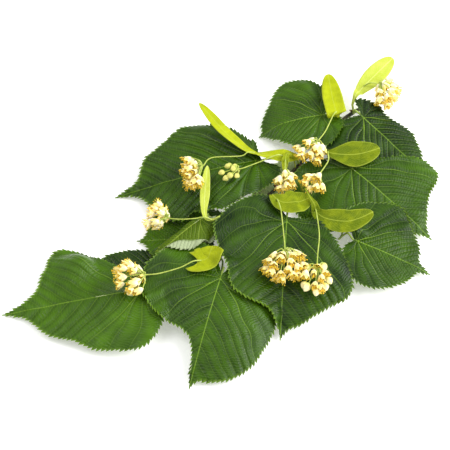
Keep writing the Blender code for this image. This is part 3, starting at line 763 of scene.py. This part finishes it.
def lay_wood(name, route, radius, start=None):
    """Lays the twig or its side shoot, which may begin on the other."""
    route = [np.array(place, float) for place in route]
    if start:
        route[0] = seat(start, route[1], 0.3)[0]
    fine = smooth_route(route, SEAT_STEPS)
    woods[name] = fine, np.linspace(*radius, len(fine))
    heap.add(name, fine + (0, 0, radius[0]), BAND)
    if start:
        route[0] = seat(start, route[1], -1.0)[0]
    path = smooth_route(route, int(run_along(fine)[-1] * WOOD_STEPS_EACH_MM))
    wide = np.linspace(*radius, len(path))
    aways = [np.linalg.norm(path[:, :2] - joint, axis=1) for joint in TWIG_JOINTS]
    for away in aways:
        wide = wide + JOINT_SWELL * np.exp(-((away / JOINT_LENGTH) ** 2))
    places = [(math.cos(t) * 1.6, math.sin(t) * 1.6) for t in round_angles(WOOD_SIDES)]
    relief = np.array([uneven(places, k * 0.11) for k in range(len(path))])
    points, faces = tube(path, wide[:, None] * (1 + BARK_RELIEF * relief), WOOD_SIDES)
    kinds = np.zeros(len(faces), int)
    if not start:
        kinds[-2 * WOOD_SIDES : -WOOD_SIDES] = 1
    ways = unit(np.gradient(path, axis=0))
    parts = [(points, faces, kinds, 0), bud(path[-1] - ways[-1], ways[-1], *END_BUD)]
    for k, away in enumerate(aways):
        at = int(np.argmin(away))
        if away[at] < 9.0 and 5 < at < len(path) - 5:
            out = np.cross(ways[at], (0, 0, 1)) * (-1) ** k + (0, 0, 0.5)
            parts.append(bud(path[at] + out * wide[at] * 0.6, out + ways[at] * 0.9, *SIDE_BUD))
    points, faces, kinds, _ = join(parts)
    make_piece("bark_" + name, name, "twig", points, faces, WOOD_FINISHES, kinds)


woods = {}
lay_wood("twig", TWIG_ROUTE, TWIG_RADIUS)
lay_wood("side_shoot", SHOOT_ROUTE, SHOOT_RADIUS, "twig")

# Leaf stalks
# Each leaf hangs on a firm, round, pale green stalk that is thicker at both ends. It stands on the twig or
# the side shoot and runs into the notch of its blade, where it goes on as the midrib.
STALK_RISE = 1.5
STALK_WIDE = 0.85
STALK_SIDES = 12
STALK_STEPS_EACH_MM = 1.6
LEAF_STALKS = {
    "turned": ("twig", (77, 71, 7)),
    "under": ("twig", (-3, -13, 5), (-4, -8, 4)),
    "hidden": ("twig", (-8, -29, 5), (-18, -37, 2), (-33, -41, 2)),
    "back_right": ("twig", (125, 131, 12), (128, 125, 15)),
    "back": ("twig", (107, 126, 13), (101, 125, 17)),
    "right": ("twig", (89, 73, 13), (104, 71, 19)),
    "beside": ("side_shoot", (110, 11, 5), (105, -7, 6), (102, -14, 10)),
    "far_left": ("twig", (-13, -42, 6), (-35, -54, 8), (-57, -67, 14)),
    "front_left": ("twig", (-2, -43, 8), (-3, -54, 18)),
    "front": ("twig", (54, 38, 14), (56, 16, 24)),
    "back_left": ("twig", (66, 71, 15), (51, 68, 20)),
    "young": ("twig", (0, -4, 11), (-8, 4, 14), (-16, 7, 17)),
}


def stalk_finish(name, green, light):
    """Smooth stalk skin, lighter in patches and specks."""
    made, shader, start = new_finish(name, 0.5, 0.3)
    patches = start.mottle(5.0) * 0.6 + start.mottle(0.6) * 0.4
    feed(shader, Base_Color=start.mix(patches, green, light), Normal=start.bump(start.mottle(0.5), 0.08))
    return made


LEAF_STALK_FINISH = stalk_finish("leaf_stalk", paint(112, 138, 48), paint(164, 182, 84))


def plan_leaf_stalk(name):
    """Finds a leaf stalk's route over the heap, and keeps room for it there."""
    wood, *route = LEAF_STALKS[name]
    route = heap.rest(np.array(route, float), STALK_RADIUS, ("leaf_" + name, wood))
    foot, out = seat(wood, route[0], SEAT_GAP)
    stalk_routes[name] = [foot, foot + out * STALK_RISE, *route]
    head = notches.get(name, behind_notch(LEAVES[name], ("stalk_" + name,)))
    fine = smooth_route([*stalk_routes[name], *head], SEAT_STEPS)
    heap.add("stalk_" + name, fine + (0, 0, STALK_RADIUS), BAND)


def stalk_path(route, steps_each_mm):
    """A smooth path along a route, how far along it each of its points lies, and how far from its end."""
    length = run_along(smooth_route(route, 40))[-1]
    path = smooth_route(route, int(length * steps_each_mm))
    run = np.linspace(0, length, len(path))
    return path, run, length - run


def lay_leaf_stalk(name):
    """Lays a leaf's stalk, from inside the wood to the start of its midrib."""
    route = [*stalk_routes[name], *notches[name]]
    foot, out = route[0], route[1] - route[0]
    ending = unit(notches[name][1] - notches[name][0])
    route = [foot - out * 0.9, *route[1:], notches[name][1] + ending * 3.5]
    path, run, left = stalk_path(route, STALK_STEPS_EACH_MM)
    wide = 1 + 0.5 * np.exp(-((run / 3.0) ** 2)) + 0.15 * np.exp(-((left / 5) ** 2))
    wide *= STALK_WIDE * (left / 3.0).clip(0.25, 1) ** 0.5
    points, faces = tube(path, wide, STALK_SIDES)
    make_piece("petiole_" + name, "stalk_" + name, "stalk", points, faces, [LEAF_STALK_FINISH])


stalk_routes = {}
for name in ("turned", "hidden"):
    plan_leaf_stalk(name)

# The leaves over the twig
# The other leaves lie one over another on the twig with their glossy upper faces up. Where a blade hangs over
# its neighbour its rim curls down, and one young leaf is light green and folded along its midrib.
LEAVES["under"] = leaf(
    (-10, -7, 4), 185, 68, left=(1.2, 2, -0.2, 0.3), right=(1.0, 2, 1, 0.3), pitch=(0, 0, -2), tone=0.5,
    seed=8)
LEAVES["back_right"] = leaf(
    (130, 119, 16), -46, 78, left=(0.6, 1.2, 1.0, 0.25), right=(1.45, 1.2, 0.6, 0.2), pitch=(0, -10, -8),
    swells=((-0.2, 0.2, 8, 0.22),), tone=0.14, pleat=1.0,
    reach_left=(1, 1, 0.93, 1.04, 0.72, 0.72, 0.9, 0.78, 0.75, 1), seed=6)
LEAVES["back"] = leaf(
    (91, 122, 18), 194, 64, left=(1.0, 1.2, 1, 0.2), right=(1.45, 1.7, 1, 0.3), pitch=(4, -10, -50),
    tone=0.38, pleat=1.1,
    reach_left=(1, 1.02, 0.97, 1.0, 1.07, 1.12, 1.17, 1, 1, 1),
    reach_right=(1, 1.06, 0.98, 0.94, 0.94, 0.98, 1.02, 0.9, 1, 1), seed=7)
LEAVES["right"] = leaf(
    (116, 58, 20), -45, 98, left=(1.05, 1.6, -0.5, 0.45), right=(1.4, 1.0, 1.5, 0.2), pitch=(0, -8, -18),
    fold=((4, 4), (-8, -4)), curl=((-12, -12), (-24, -20)), tone=0.4, pleat=0.95,
    reach_left=(1, 0.97, 0.9, 0.91, 1.09, 1.15, 1, 1, 1, 1), seed=5)
LEAVES["beside"] = leaf(
    (118, -20, 16), -24, 68, left=(1.4, 1.7, 1.3, 0.2), right=(1.2, 1.6, 0.5, 0.4), pitch=(-4, -8, -18),
    tone=0.3, pleat=0.45,
    reach_left=(0.98, 0.93, 0.96, 0.95, 0.97, 1.05, 0.92, 0.9, 1, 1), drip=0.09,
    reach_right=(0.98, 0.98, 1.0, 0.96, 0.93, 0.99, 1.07, 0.85, 1, 1), seed=4)
LEAVES["far_left"] = leaf(
    (-71, -73, 18), 188, 120, left=(0.93, 1, 0.5, 0.2), right=(0.95, 0.8, 0.05, 0.5), pitch=(0, -8, -8),
    fold=((0, 0), (-40, 14)), curl=((-14, -20), (-90, 10)), swells=((0.44, -0.42, 18, 0.16),), tone=0.62,
    vein_gap=0.11, drip=0.06, reach_left=(1.0, 0.98, 1.01, 0.94, 0.98, 0.96, 1.05, 1, 1, 1),
    reach_right=(1.0, 0.98, 1.0, 1.02, 1.2, 1.1, 1, 1, 1, 1), seed=1)
LEAVES["front_left"] = leaf(
    (-4, -65, 24), -105, 103, left=(1.08, 1.8, 1, 0.3), right=(1.3, 0.2, 1.2, 0.3),
    fold=((-4, -4), (4, 0)), curl=((-30, -24), (-10, -120)), pitch=(0, -10, -24), tone=0.38, pleat=0.5,
    vein_gap=0.13,
    reach_left=(1, 1.07, 1.08, 1.06, 1.01, 1.03, 1, 1, 1, 1),
    reach_right=(1, 0.87, 0.88, 0.95, 1.02, 0.98, 1.08, 1, 1, 1), seed=2)
LEAVES["front"] = leaf(
    (55, -7, 28), -94, 111, left=(1.04, 1.8, 0.1, 0.5), right=(1.1, 1.9, 0.9, 0.2), pitch=(-4, -12, -26),
    tone=0.2, pleat=0.6, vein_gap=0.11,
    reach_left=(1, 1.03, 0.97, 0.93, 1.05, 1.0, 1, 1, 1, 1),
    reach_right=(1, 0.89, 0.91, 0.96, 0.88, 0.94, 1.1, 1, 1, 1), seed=3)
LEAVES["back_left"] = leaf(
    (29, 65, 22), 192, 132, left=(0.68, 1.3, 0.7, 0.5), right=(0.76, 1.0, 0.1, 0.4), pitch=(2, -10, -14),
    tone=0.34, pleat=2.0, vein_gap=0.084,
    reach_left=(0.94, 0.95, 0.94, 1.0, 1.04, 1, 0.97, 0.9, 0.8, 1), drip=0.09,
    reach_right=(0.94, 0.97, 1.0, 0.97, 1.12, 1.1, 0.8, 1, 1, 1), seed=10)
LEAVES["young"] = leaf(
    (-22, 1, 19.5), 222, 52, left=(1.1, 1.4, 1, 0.3), right=(0.15, 1, 0.2, 0.3), finish="young_leaf",
    curl=((-100, -30), (-80, -12)), tone=0.35, pale=0.8, seed=12)

plan_leaf_stalk("beside")
lay_leaf("under", beneath=("twig",))
for name in ("under", "far_left", "front_left", "young"):
    plan_leaf_stalk(name)
lay_leaf("back_right")
for name in ("back_right", "back", "right"):
    plan_leaf_stalk(name)
for name in ("back", "right", "beside", "far_left", "front_left", "young"):
    lay_leaf(name)
plan_leaf_stalk("front")
lay_leaf("front")
lay_leaf("back_left")
plan_leaf_stalk("back_left")
for name in LEAF_STALKS:
    lay_leaf_stalk(name)

# Bracts
# A linden flower cluster hangs from the middle of a thin, strap-shaped, yellow-green bract with a pale midrib
# and a fine net of veins. The bracts stand on the twig on thin necks and lie over the leaves.
BRACT_THICK = 0.7
BRACT_STEPS = 100
BRACT_ROWS = 12
BRACT_CHANNEL = 0.12
NECK_HALF_WIDTH = 0.9
NECK_GROWTH = 0.3
LEAST_HALF_WIDTH = 0.25
BRACT_PAPER = 0.28
BRACT_RIB = 0.45
BRACT_RIB_WIDTH = 0.6
BLUNT_END = 0.75


def bract(*route, **own):
    """A bract's sizes: the places it passes, its full width, how much of its length is a thin neck, widens
    after it and narrows to its end, how it tilts on its way, how light it is, and how hollow its end is."""
    usual = dict(neck=0.1, growth=0.42, end=0.4, tilts=(0, 0), tone=0.1, finish="bract", hollow=0)
    return {"route": route, **usual, **own}


BRACTS = {
    "bract_back": bract(
        (105, 121, 15), (104, 119, 25), (101, 136, 26), (98, 166, 25), width=19, neck=0.02, growth=0.24,
        end=0.5, tone=0.75),
    "bract_back_right": bract(
        (121, 138, 12), (127, 147, 22), (143, 163, 28), (160, 181, 31), width=19, neck=0.02, growth=0.6,
        end=0.36, tilts=(10, 20), finish="pale_bract"),
    "bract_right": bract(
        (90, 84, 18), (96, 71, 26), (115, 68, 27), (129, 70, 28), (142, 75, 28), width=29, neck=0.2,
        growth=0.5, end=0.5, tilts=(0, 10), tone=0.05),
    "bract_middle": bract(
        (43, 25, 17), (43, 17, 27), (51, 10, 31), (64, 11, 31), (77, 17, 31), width=27, neck=0.22,
        growth=0.5, tone=0.2),
    "bract_pale": bract(
        (6, 1, 14), (-9, -2, 20), (-18, 0, 27), (-18, 22, 31), (-16, 51, 33), width=9, neck=0.25,
        finish="pale_bract"),
    "bract_long": bract(
        (71, 72, 18), (60, 68, 24), (41, 67, 26), (23, 71, 28), (6, 83, 32), (-10, 102, 35), (-24, 121, 37),
        width=15, neck=0.02, growth=0.2, end=0.6, tilts=(0, 5, 50, 30, 10, 0), tone=0.75),
    "bract_front": bract(
        (66, 47, 18), (72, 25, 24), (79, 9, 26), (88, -3, 28), (107, -8, 29), (120, -5, 30), (132, 1, 31),
        width=26, neck=0.36, end=0.45, tilts=(0, 10), tone=0.1),
    "bract_curled": bract(
        (-10, -32, 17), (-13, -43, 30), (-16, -48, 27), (-26, -51, 27), (-33, -50, 23), width=25, neck=0.2,
        growth=0.3, end=0.3, tone=0.55, hollow=9),
    "bract_small": bract((62, 66, 19), (57, 68, 25), (55, 60, 27), (54, 49, 26), width=7, neck=0.3, tone=0.3),
}


def bract_finish(name, deep, light, vein):
    """A bract's papery face, with a pale midrib, slanting veins and a net between them."""
    made, shader, start = new_finish(name, 0.5, 0.1)
    across = start.mark("across")
    slanting = (start.mark("run") - across * 1.3 + start.mottle(5.0) * 1.6).zigzag(1.5)
    cells = {"Vector": start.place(), "Scale": 1 / (1.5 * MM)}
    net = start.node("TexVoronoi", {"feature": "DISTANCE_TO_EDGE"}, cells, "Distance")
    lines = 1 - slanting.ramp(0.05, 0.45)
    mesh_lines = 1 - net.ramp(0.02, 0.16)
    colour = start.coats(
        start.mix(start.mark("tone") + start.mottle(8.0) * 0.24 - 0.12, deep, light),
        (lines * 0.16 + mesh_lines * 0.1, vein),
        ((1 - across.ramp(0.2, 0.55)) * 0.5, vein),
        (start.mark("rim").ramp(0.88, 1.0) * 0.45, vein))
    height = 1 - lines * 0.5 - mesh_lines * 0.25
    feed(shader, Base_Color=colour, Normal=start.bump(height, 0.22))
    return made


BRACT_FINISHES = {
    "bract": bract_finish("bract_green", paint(82, 102, 0), paint(180, 190, 14), paint(176, 188, 70)),
    "pale_bract": bract_finish(
        "bract_pale_green", paint(176, 190, 56), paint(220, 226, 124), paint(214, 222, 140)),
}


def sheet_grid(count, across):
    """The faces of a sheet of even rows, and the points along its edge."""
    a = (np.arange(count - 1)[:, None] * across + np.arange(across - 1)[None]).reshape(-1)
    line = np.arange(count) * across
    end = np.arange(1, across - 1)
    return np.stack([a, a + 1, a + across + 1, a + across], 1), np.concatenate(
        [line, line[-1] + end, (line + across - 1)[::-1], end[::-1]])


def lay_bract(name):
    """Lays a bract, from its foot on the twig to its round end."""
    sizes = BRACTS[name]
    dip = NECK_HALF_WIDTH * abs(math.sin(math.radians(sizes["tilts"][0])))
    foot, out = seat("twig", sizes["route"][0], SEAT_GAP + dip)
    path = smooth_route([foot - out * 1.2, foot + out * STALK_RISE, *sizes["route"]], BRACT_STEPS)
    share = np.linspace(0, 1, len(path))
    laid = heap.rest(path, BRACT_THICK / 2 + 0.5, ("twig",))
    path[:, 2] += (laid[:, 2] - path[:, 2]) * np.clip(share / NECK_GROWTH, 0, 1)
    growth = np.clip((share - sizes["neck"]) / sizes["growth"], 0, 1)
    half = NECK_HALF_WIDTH + (sizes["width"] / 2 - NECK_HALF_WIDTH) * growth * growth * (3 - 2 * growth)
    ending = np.clip((share - 1 + sizes["end"]) / sizes["end"], 0, 1)
    bluntness = BLUNT_END if sizes["hollow"] else 1.0
    half = np.maximum(half * np.sqrt(1 - (bluntness * ending) ** 2), LEAST_HALF_WIDTH)
    along = unit(np.gradient(path, axis=0))
    sides = [np.cross((0.0, 0.0, 1.0), along[-1])]
    for way in along[-2::-1]:
        sides.append(unit(sides[-1] - way * (sides[-1] @ way)))
    sides = np.array(sides[::-1])
    tilt = np.radians(np.interp(share, np.linspace(0, 1, len(sizes["tilts"])), sizes["tilts"]))[:, None]
    ups = np.cross(along, sides)
    sides, ups = sides * np.cos(tilt) + ups * np.sin(tilt), ups * np.cos(tilt) - sides * np.sin(tilt)
    half, fading = half[:, None], ending[:, None]
    run = run_along(path)
    ks = np.linspace(-1, 1, BRACT_ROWS + 1)
    rows = []
    for k in ks:
        wave = 0.5 * np.sin(run / 7.0 + 3 * k)[:, None] * abs(k) ** 2 * (half / 6).clip(0, 1)
        drawn = sizes["hollow"] * (1 - k * k) * fading
        across_it = sides * half * k - along * drawn
        rows.append(path + across_it + ups * (half * BRACT_CHANNEL * abs(k) ** 1.5 + wave))
    points = np.stack(rows, 1).reshape(-1, 3)
    faces, edge = sheet_grid(len(path), len(ks))
    across = (np.abs(ks) * half).reshape(-1)
    rib = BRACT_RIB * np.exp(-((across / BRACT_RIB_WIDTH) ** 2)) * np.repeat(1.05 - share, len(ks))
    points, faces, _ = closed_sheet(points, faces, edge[::-1], BRACT_PAPER / 2, BRACT_PAPER / 2 + rib)
    make_piece(
        "strap_" + name, name, sizes["finish"], points, faces, [BRACT_FINISHES[sizes["finish"]]],
        tone=sizes["tone"], across=across, run=np.repeat(run, len(ks)),
        rim=np.maximum(np.abs(ks), fading**4).reshape(-1))
    bracts[name] = path, ups
    spread = [path + sides * half * k for k in np.linspace(-1, 1, 9)]
    heap.add(name, np.vstack(spread) + (0, 0, BRACT_THICK / 2))


bracts = {}
for name in BRACTS:
    lay_bract(name)

# Flower stalks and blossoms
# A smooth stalk leaves each bract's midrib and parts into short stalks, each with one flower: five pale
# sepals, five cream petals, a brush of stamens with golden heads and a yellow-green pistil. Some are buds.
FLOWER_STALK_RADIUS = 0.65
FLOWER_STALK_REACH = 8.0
FLOWER_STALK_LIFT = 3.0
FLOWER_STALK_SIDES = 10
FLOWER_STALK_STEPS_EACH_MM = 1.5
SPREAD_AT_FOOT = 70
PETAL = (7.6, 3.9)
SEPAL = (5.4, 3.3)
PETAL_THIN = 0.18
STAMEN_REACH = (5.8, 8.4)
PISTIL = (0.5, 1.05, 0.8, 0.3, 0.25, 0.28, 0.3)
BUD_SIDES = 20
GOLDEN_TURN = 2.4
FLOWER_STALKS = {
    "middle_back": ("bract_back", 0.28, (93, 95, 28), (86, 82, 31)),
    "back_right": ("bract_back_right", 0.4, (143, 151, 29), (147, 147, 30)),
    "middle": ("bract_small", 0.7, (55, 48, 32)),
    "middle_right": ("bract_right", 0.32, (94, 58, 31), (88, 47, 31)),
    "left_back": ("bract_long", 0.42, (14, 62, 33), (-12, 60, 33)),
    "buds": ("bract_long", 0.2, (34, 58, 31), (17, 50, 31)),
    "front": ("bract_middle", 0.48, (50, -4, 36), (52, -31, 34)),
    "front_right": ("bract_front", 0.5, (83, -26, 34), (81, -46, 33)),
    "far_left": ("bract_curled", 0.75, (-39, -58, 30), (-57, -64, 30)),
    "left": ("bract_pale", 0.3, (-26, -4, 28), (-37, -5, 28), (-47, -3, 26)),
}
BLOSSOM_LOW = 0.6
# A blossom's middle, half sizes and heading, how many flowers and buds it has, the seed of its draws and what
# share of its flowers is wide open
BLOSSOM_PARTS = ("middle", "half", "heading", "flowers", "buds", "seed", "open_share")
BLOSSOMS = {
    "middle_back": ((78, 70, 27), (15, 12, 8), -10, 11, 0, 1, 0.7),
    "back_right": ((154, 139, 25), (11, 17, 9), -15, 13, 1, 2, 0.9),
    "middle": ((56, 35, 26), (9, 10, 8), -10, 8, 0, 3, 0.7),
    "middle_right": ((79, 32, 30), (10, 10, 8), 0, 8, 0, 4, 0.7),
    "left_back": ((-30, 41, 25), (7, 23, 8), 8, 15, 0, 5, 0.7),
    "buds": ((3, 45, 27), (9, 10, 6), 0, 0, 9, 6, 0.7),
    "front": ((53, -59, 26), (18, 18, 10), 0, 21, 0, 7, 0.85),
    "front_right": ((79, -73, 25), (14, 16, 9), -20, 7, 7, 8, 0.35),
    "far_left": ((-84, -67, 26), (12, 20, 10), 15, 15, 1, 9, 0.8),
    "left": ((-61, 3, 19), (10, 15, 8), -20, 11, 2, 10, 0.7),
}


def petal_finish(name, foot, tip, flush):
    """The waxy skin of a flower's parts: its colour changes from foot to tip and is flushed in patches."""
    made, shader, start = new_finish(name, 0.5, 0.25)
    colour = start.mix(start.mark("out").ramp(0.0, 0.7), foot, tip)
    flushed = start.mix(start.mottle(4.0) * 0.45, colour, flush)
    feed(shader, Base_Color=flushed, Normal=start.bump(start.mottle(0.7), 0.1))
    return made


FLOWER_STALK_FINISH = stalk_finish("flower_stalk", paint(150, 170, 60), paint(192, 204, 104))
BLOSSOM_FINISHES = [
    petal_finish("petal", paint(255, 250, 222), paint(255, 230, 116), paint(255, 246, 196)),
    petal_finish("sepal", paint(250, 246, 190), paint(255, 248, 216), paint(255, 232, 158)),
    petal_finish("stamen", paint(255, 244, 144), paint(255, 214, 50), paint(255, 234, 104)),
    petal_finish("stamen_head", paint(255, 204, 30), paint(255, 226, 74), paint(255, 190, 24)),
    petal_finish("bud_and_pistil", paint(206, 210, 96), paint(255, 244, 190), paint(252, 230, 150)),
    FLOWER_STALK_FINISH,
    petal_finish("green_bud", paint(150, 166, 52), paint(222, 220, 120), paint(240, 226, 140)),
]


def scoop(length, width, opening, cup, steps, rows):
    """A petal: a thin blade that spreads from the flower's foot, turns upright as in a bell and opens
    outwards again to an angle from upright."""
    share = np.linspace(0, 1, steps + 1)
    lean = np.radians(SPREAD_AT_FOOT * (1 - share) ** 2 + opening * share**1.2)
    step = length / steps
    out = np.concatenate([[0.4], 0.4 + np.cumsum(np.sin(lean[1:]) * step)])
    up = np.concatenate([[0.0], np.cumsum(np.cos(lean[1:]) * step)])
    half = width / 2 * np.sin(math.pi * (0.1 + 0.86 * share) ** 0.85) ** 0.7
    ks = np.linspace(-1, 1, rows)
    x = out[:, None] - cup * half[:, None] * ks**2 * np.cos(lean)[:, None]
    z = up[:, None] + cup * half[:, None] * ks**2 * np.sin(lean)[:, None]
    points = np.stack([x, half[:, None] * ks[None], z], -1).reshape(-1, 3)
    faces, edge = sheet_grid(steps + 1, rows)
    both, closed, _ = closed_sheet(points, faces[:, [0, 3, 2, 1]], edge, PETAL_THIN / 2, PETAL_THIN / 2)
    return both, closed, np.tile(np.repeat(share, rows), 2)


def spun(points, turn):
    """The points turned about the upright axis."""
    cos, sin = math.cos(turn), math.sin(turn)
    x, y = points[:, 0] * cos - points[:, 1] * sin, points[:, 0] * sin + points[:, 1] * cos
    return np.stack([x, y, points[:, 2]], 1)


def flower_form(seed, opening, stamens):
    """One open flower, facing up with its foot at the origin."""
    draw = np.random.default_rng(seed)
    parts = []
    for k in range(5):
        turn = 2 * math.pi * k / 5
        wide = opening + draw.uniform(-10, 12)
        points, faces, out = scoop(*PETAL, wide, 0.4, 6, 5)
        parts.append((spun(points, turn + draw.uniform(-0.1, 0.1)), faces, 0, out))
        points, faces, out = scoop(*SEPAL, wide + 6, 0.5, 5, 3)
        parts.append((spun(points * (1.06, 1.06, 1.0), turn + math.pi / 5), faces, 1, out))
    for k in range(stamens):
        turn = GOLDEN_TURN * k
        lean = math.radians((opening + 6) * math.sqrt((k + 0.5) / stamens) + draw.uniform(-6, 6))
        reach = draw.uniform(*STAMEN_REACH)
        share = np.linspace(0, 1, 4)
        out = reach * np.sin(lean * share) * share
        up = reach * share * np.cos(lean * share * 0.7)
        path = np.stack([0.3 + out, 0 * share, up], 1)
        points, faces = tube(path, 0.19, 3)
        parts.append((spun(points, turn), faces, 2, np.append(np.repeat(share, 3), (0, 1))))
        way = unit(path[-1] - path[-2])
        across = np.array((-way[2], 0.0, way[0])) * 0.45
        head = path[-1] + np.array((-1.0, -0.35, 0.35, 1.0))[:, None] * across
        points, faces = tube(head, (0.14, 0.32, 0.32, 0.14), 5)
        parts.append((spun(points, turn), faces, 3, draw.uniform(0, 1)))
    share = np.linspace(0, 1, 7)
    points, faces = tube(np.stack([0 * share, 0 * share, 6.4 * share - 0.4], 1), PISTIL, 7)
    parts.append((points, faces, 4, 0.4))
    return join(parts)


def bud_form(seed, size, kind):
    """One closed bud with five shallow ribs."""
    draw = np.random.default_rng(seed)
    share = np.linspace(0, 1, 11)
    radius = 0.45 * size * np.sin(math.pi * (0.05 + 0.92 * share) ** 0.86) ** 0.7
    ribs = 1 + 0.1 * np.cos(5 * round_angles(BUD_SIDES))
    path = np.stack([0 * share, 0 * share, size * draw.uniform(0.9, 1.1) * share], 1)
    parts = []
    points, faces = tube(path, radius[:, None] * ribs, BUD_SIDES)
    parts.append((points, faces, kind, np.concatenate([np.repeat(share, BUD_SIDES), (0, 1)])))
    return join(parts)


OPEN_FLOWERS = [flower_form(20 + k, opening, 20) for k, opening in enumerate((24, 32, 40))]
HALF_OPEN_FLOWERS = [flower_form(30 + k, opening, 12) for k, opening in enumerate((2, 10))]
FLOWER_BUDS = [bud_form(40 + k, 6.4, 4) for k in range(3)]
GREEN_BUDS = [bud_form(50 + k, 5.2, 6) for k in range(3)]


def facing(way, spin):
    """The axes of a flower that faces a way, as rows."""
    side = unit(np.cross(way, (0.31, 0.17, 0.93)))
    up = np.cross(way, side)
    cos, sin = math.cos(spin), math.sin(spin)
    return np.stack([side * cos + up * sin, up * cos - side * sin, way])


def lay_blossom(name):
    """Lays one blossom on the heap: its short stalks leave the end of the flower stalk, and the flowers face
    outwards from its middle."""
    sizes = dict(zip(BLOSSOM_PARTS, BLOSSOMS[name]))
    half = np.array(sizes["half"], float)
    middle = heap.rest(np.array(sizes["middle"], float), BLOSSOM_LOW * half[2])
    draw = np.random.default_rng(sizes["seed"])
    turn = math.radians(sizes["heading"])
    away = unit(middle - FLOWER_STALKS[name][-1])
    hub = hubs[name] = middle - away * np.linalg.norm(half[:2]) * 0.62 + (0, 0, 1.5)
    total = sizes["flowers"] + sizes["buds"]
    parts = []
    for k in range(total):
        height = 0.98 - 1.15 * (k + 0.5) / total
        round_it = GOLDEN_TURN * k + draw.uniform(-0.25, 0.25)
        flat = math.sqrt(max(0.0, 1 - height * height))
        way = np.array((flat * math.cos(round_it), flat * math.sin(round_it), height))
        outward = spun((way / half)[None], turn)[0] * half.mean()
        face = unit(away * 1.1 + outward * (0.62, 0.62, 0.3) - (0, 0, 0.22) + draw.normal(0, 0.2, 3))
        place = middle + spun((way * half * draw.uniform(0.65, 1.0))[None], turn)[0] - face * 5.0
        place = heap.rest(place, 3.4)
        if k < sizes["flowers"]:
            wide_open = draw.uniform() < sizes["open_share"]
            forms = OPEN_FLOWERS if wide_open else HALF_OPEN_FLOWERS
        else:
            forms = FLOWER_BUDS if sizes["flowers"] else GREEN_BUDS
        points, faces, kinds, out = forms[int(draw.integers(len(forms)))]
        axes = facing(face, draw.uniform(0, 2 * math.pi))
        parts.append((place + (points * draw.uniform(1.0, 1.25)) @ axes, faces, kinds, out))
        bend = (hub + place) / 2 + (0, 0, 1.2) - axes[2] * 1.5
        path = smooth_route([hub, bend, place + axes[2] * 0.3], 9)
        points, faces = tube(path, np.linspace(0.42, 0.5, len(path)), 6)
        parts.append((points, faces, 5, 0.5))
    points, faces, kinds, out = join(parts)
    make_piece(
        "cluster_" + name, "blossom_" + name, "blossom", points, faces, BLOSSOM_FINISHES, kinds, out=out)


def lay_flower_stalk(name):
    """Lays a flower stalk, from the midrib of its bract into its blossom."""
    bract_name, share, *route = FLOWER_STALKS[name]
    path, ups = bracts[bract_name]
    at = int(share * (len(path) - 1))
    foot = path[at] + ups[at] * 0.3
    leaving = np.array(route[0]) - foot
    leaving *= min(0.5, FLOWER_STALK_REACH / np.linalg.norm(leaving))
    leaving += foot + (0, 0, FLOWER_STALK_LIFT)
    route = heap.rest(np.array([leaving, *route]), FLOWER_STALK_RADIUS, (bract_name, "twig"))
    path, run, left = stalk_path([foot, *route, hubs[name]], FLOWER_STALK_STEPS_EACH_MM)
    wide = 0.85 + 0.3 * np.exp(-((run / 4) ** 2)) + 0.35 * np.exp(-((left / 2.5) ** 2))
    points, faces = tube(path, FLOWER_STALK_RADIUS * wide, FLOWER_STALK_SIDES)
    make_piece("long_stalk_" + name, "flower_stalk_" + name, "stalk", points, faces, [FLOWER_STALK_FINISH])


hubs = {}
for name in BLOSSOMS:
    lay_blossom(name)
for name in FLOWER_STALKS:
    lay_flower_stalk(name)
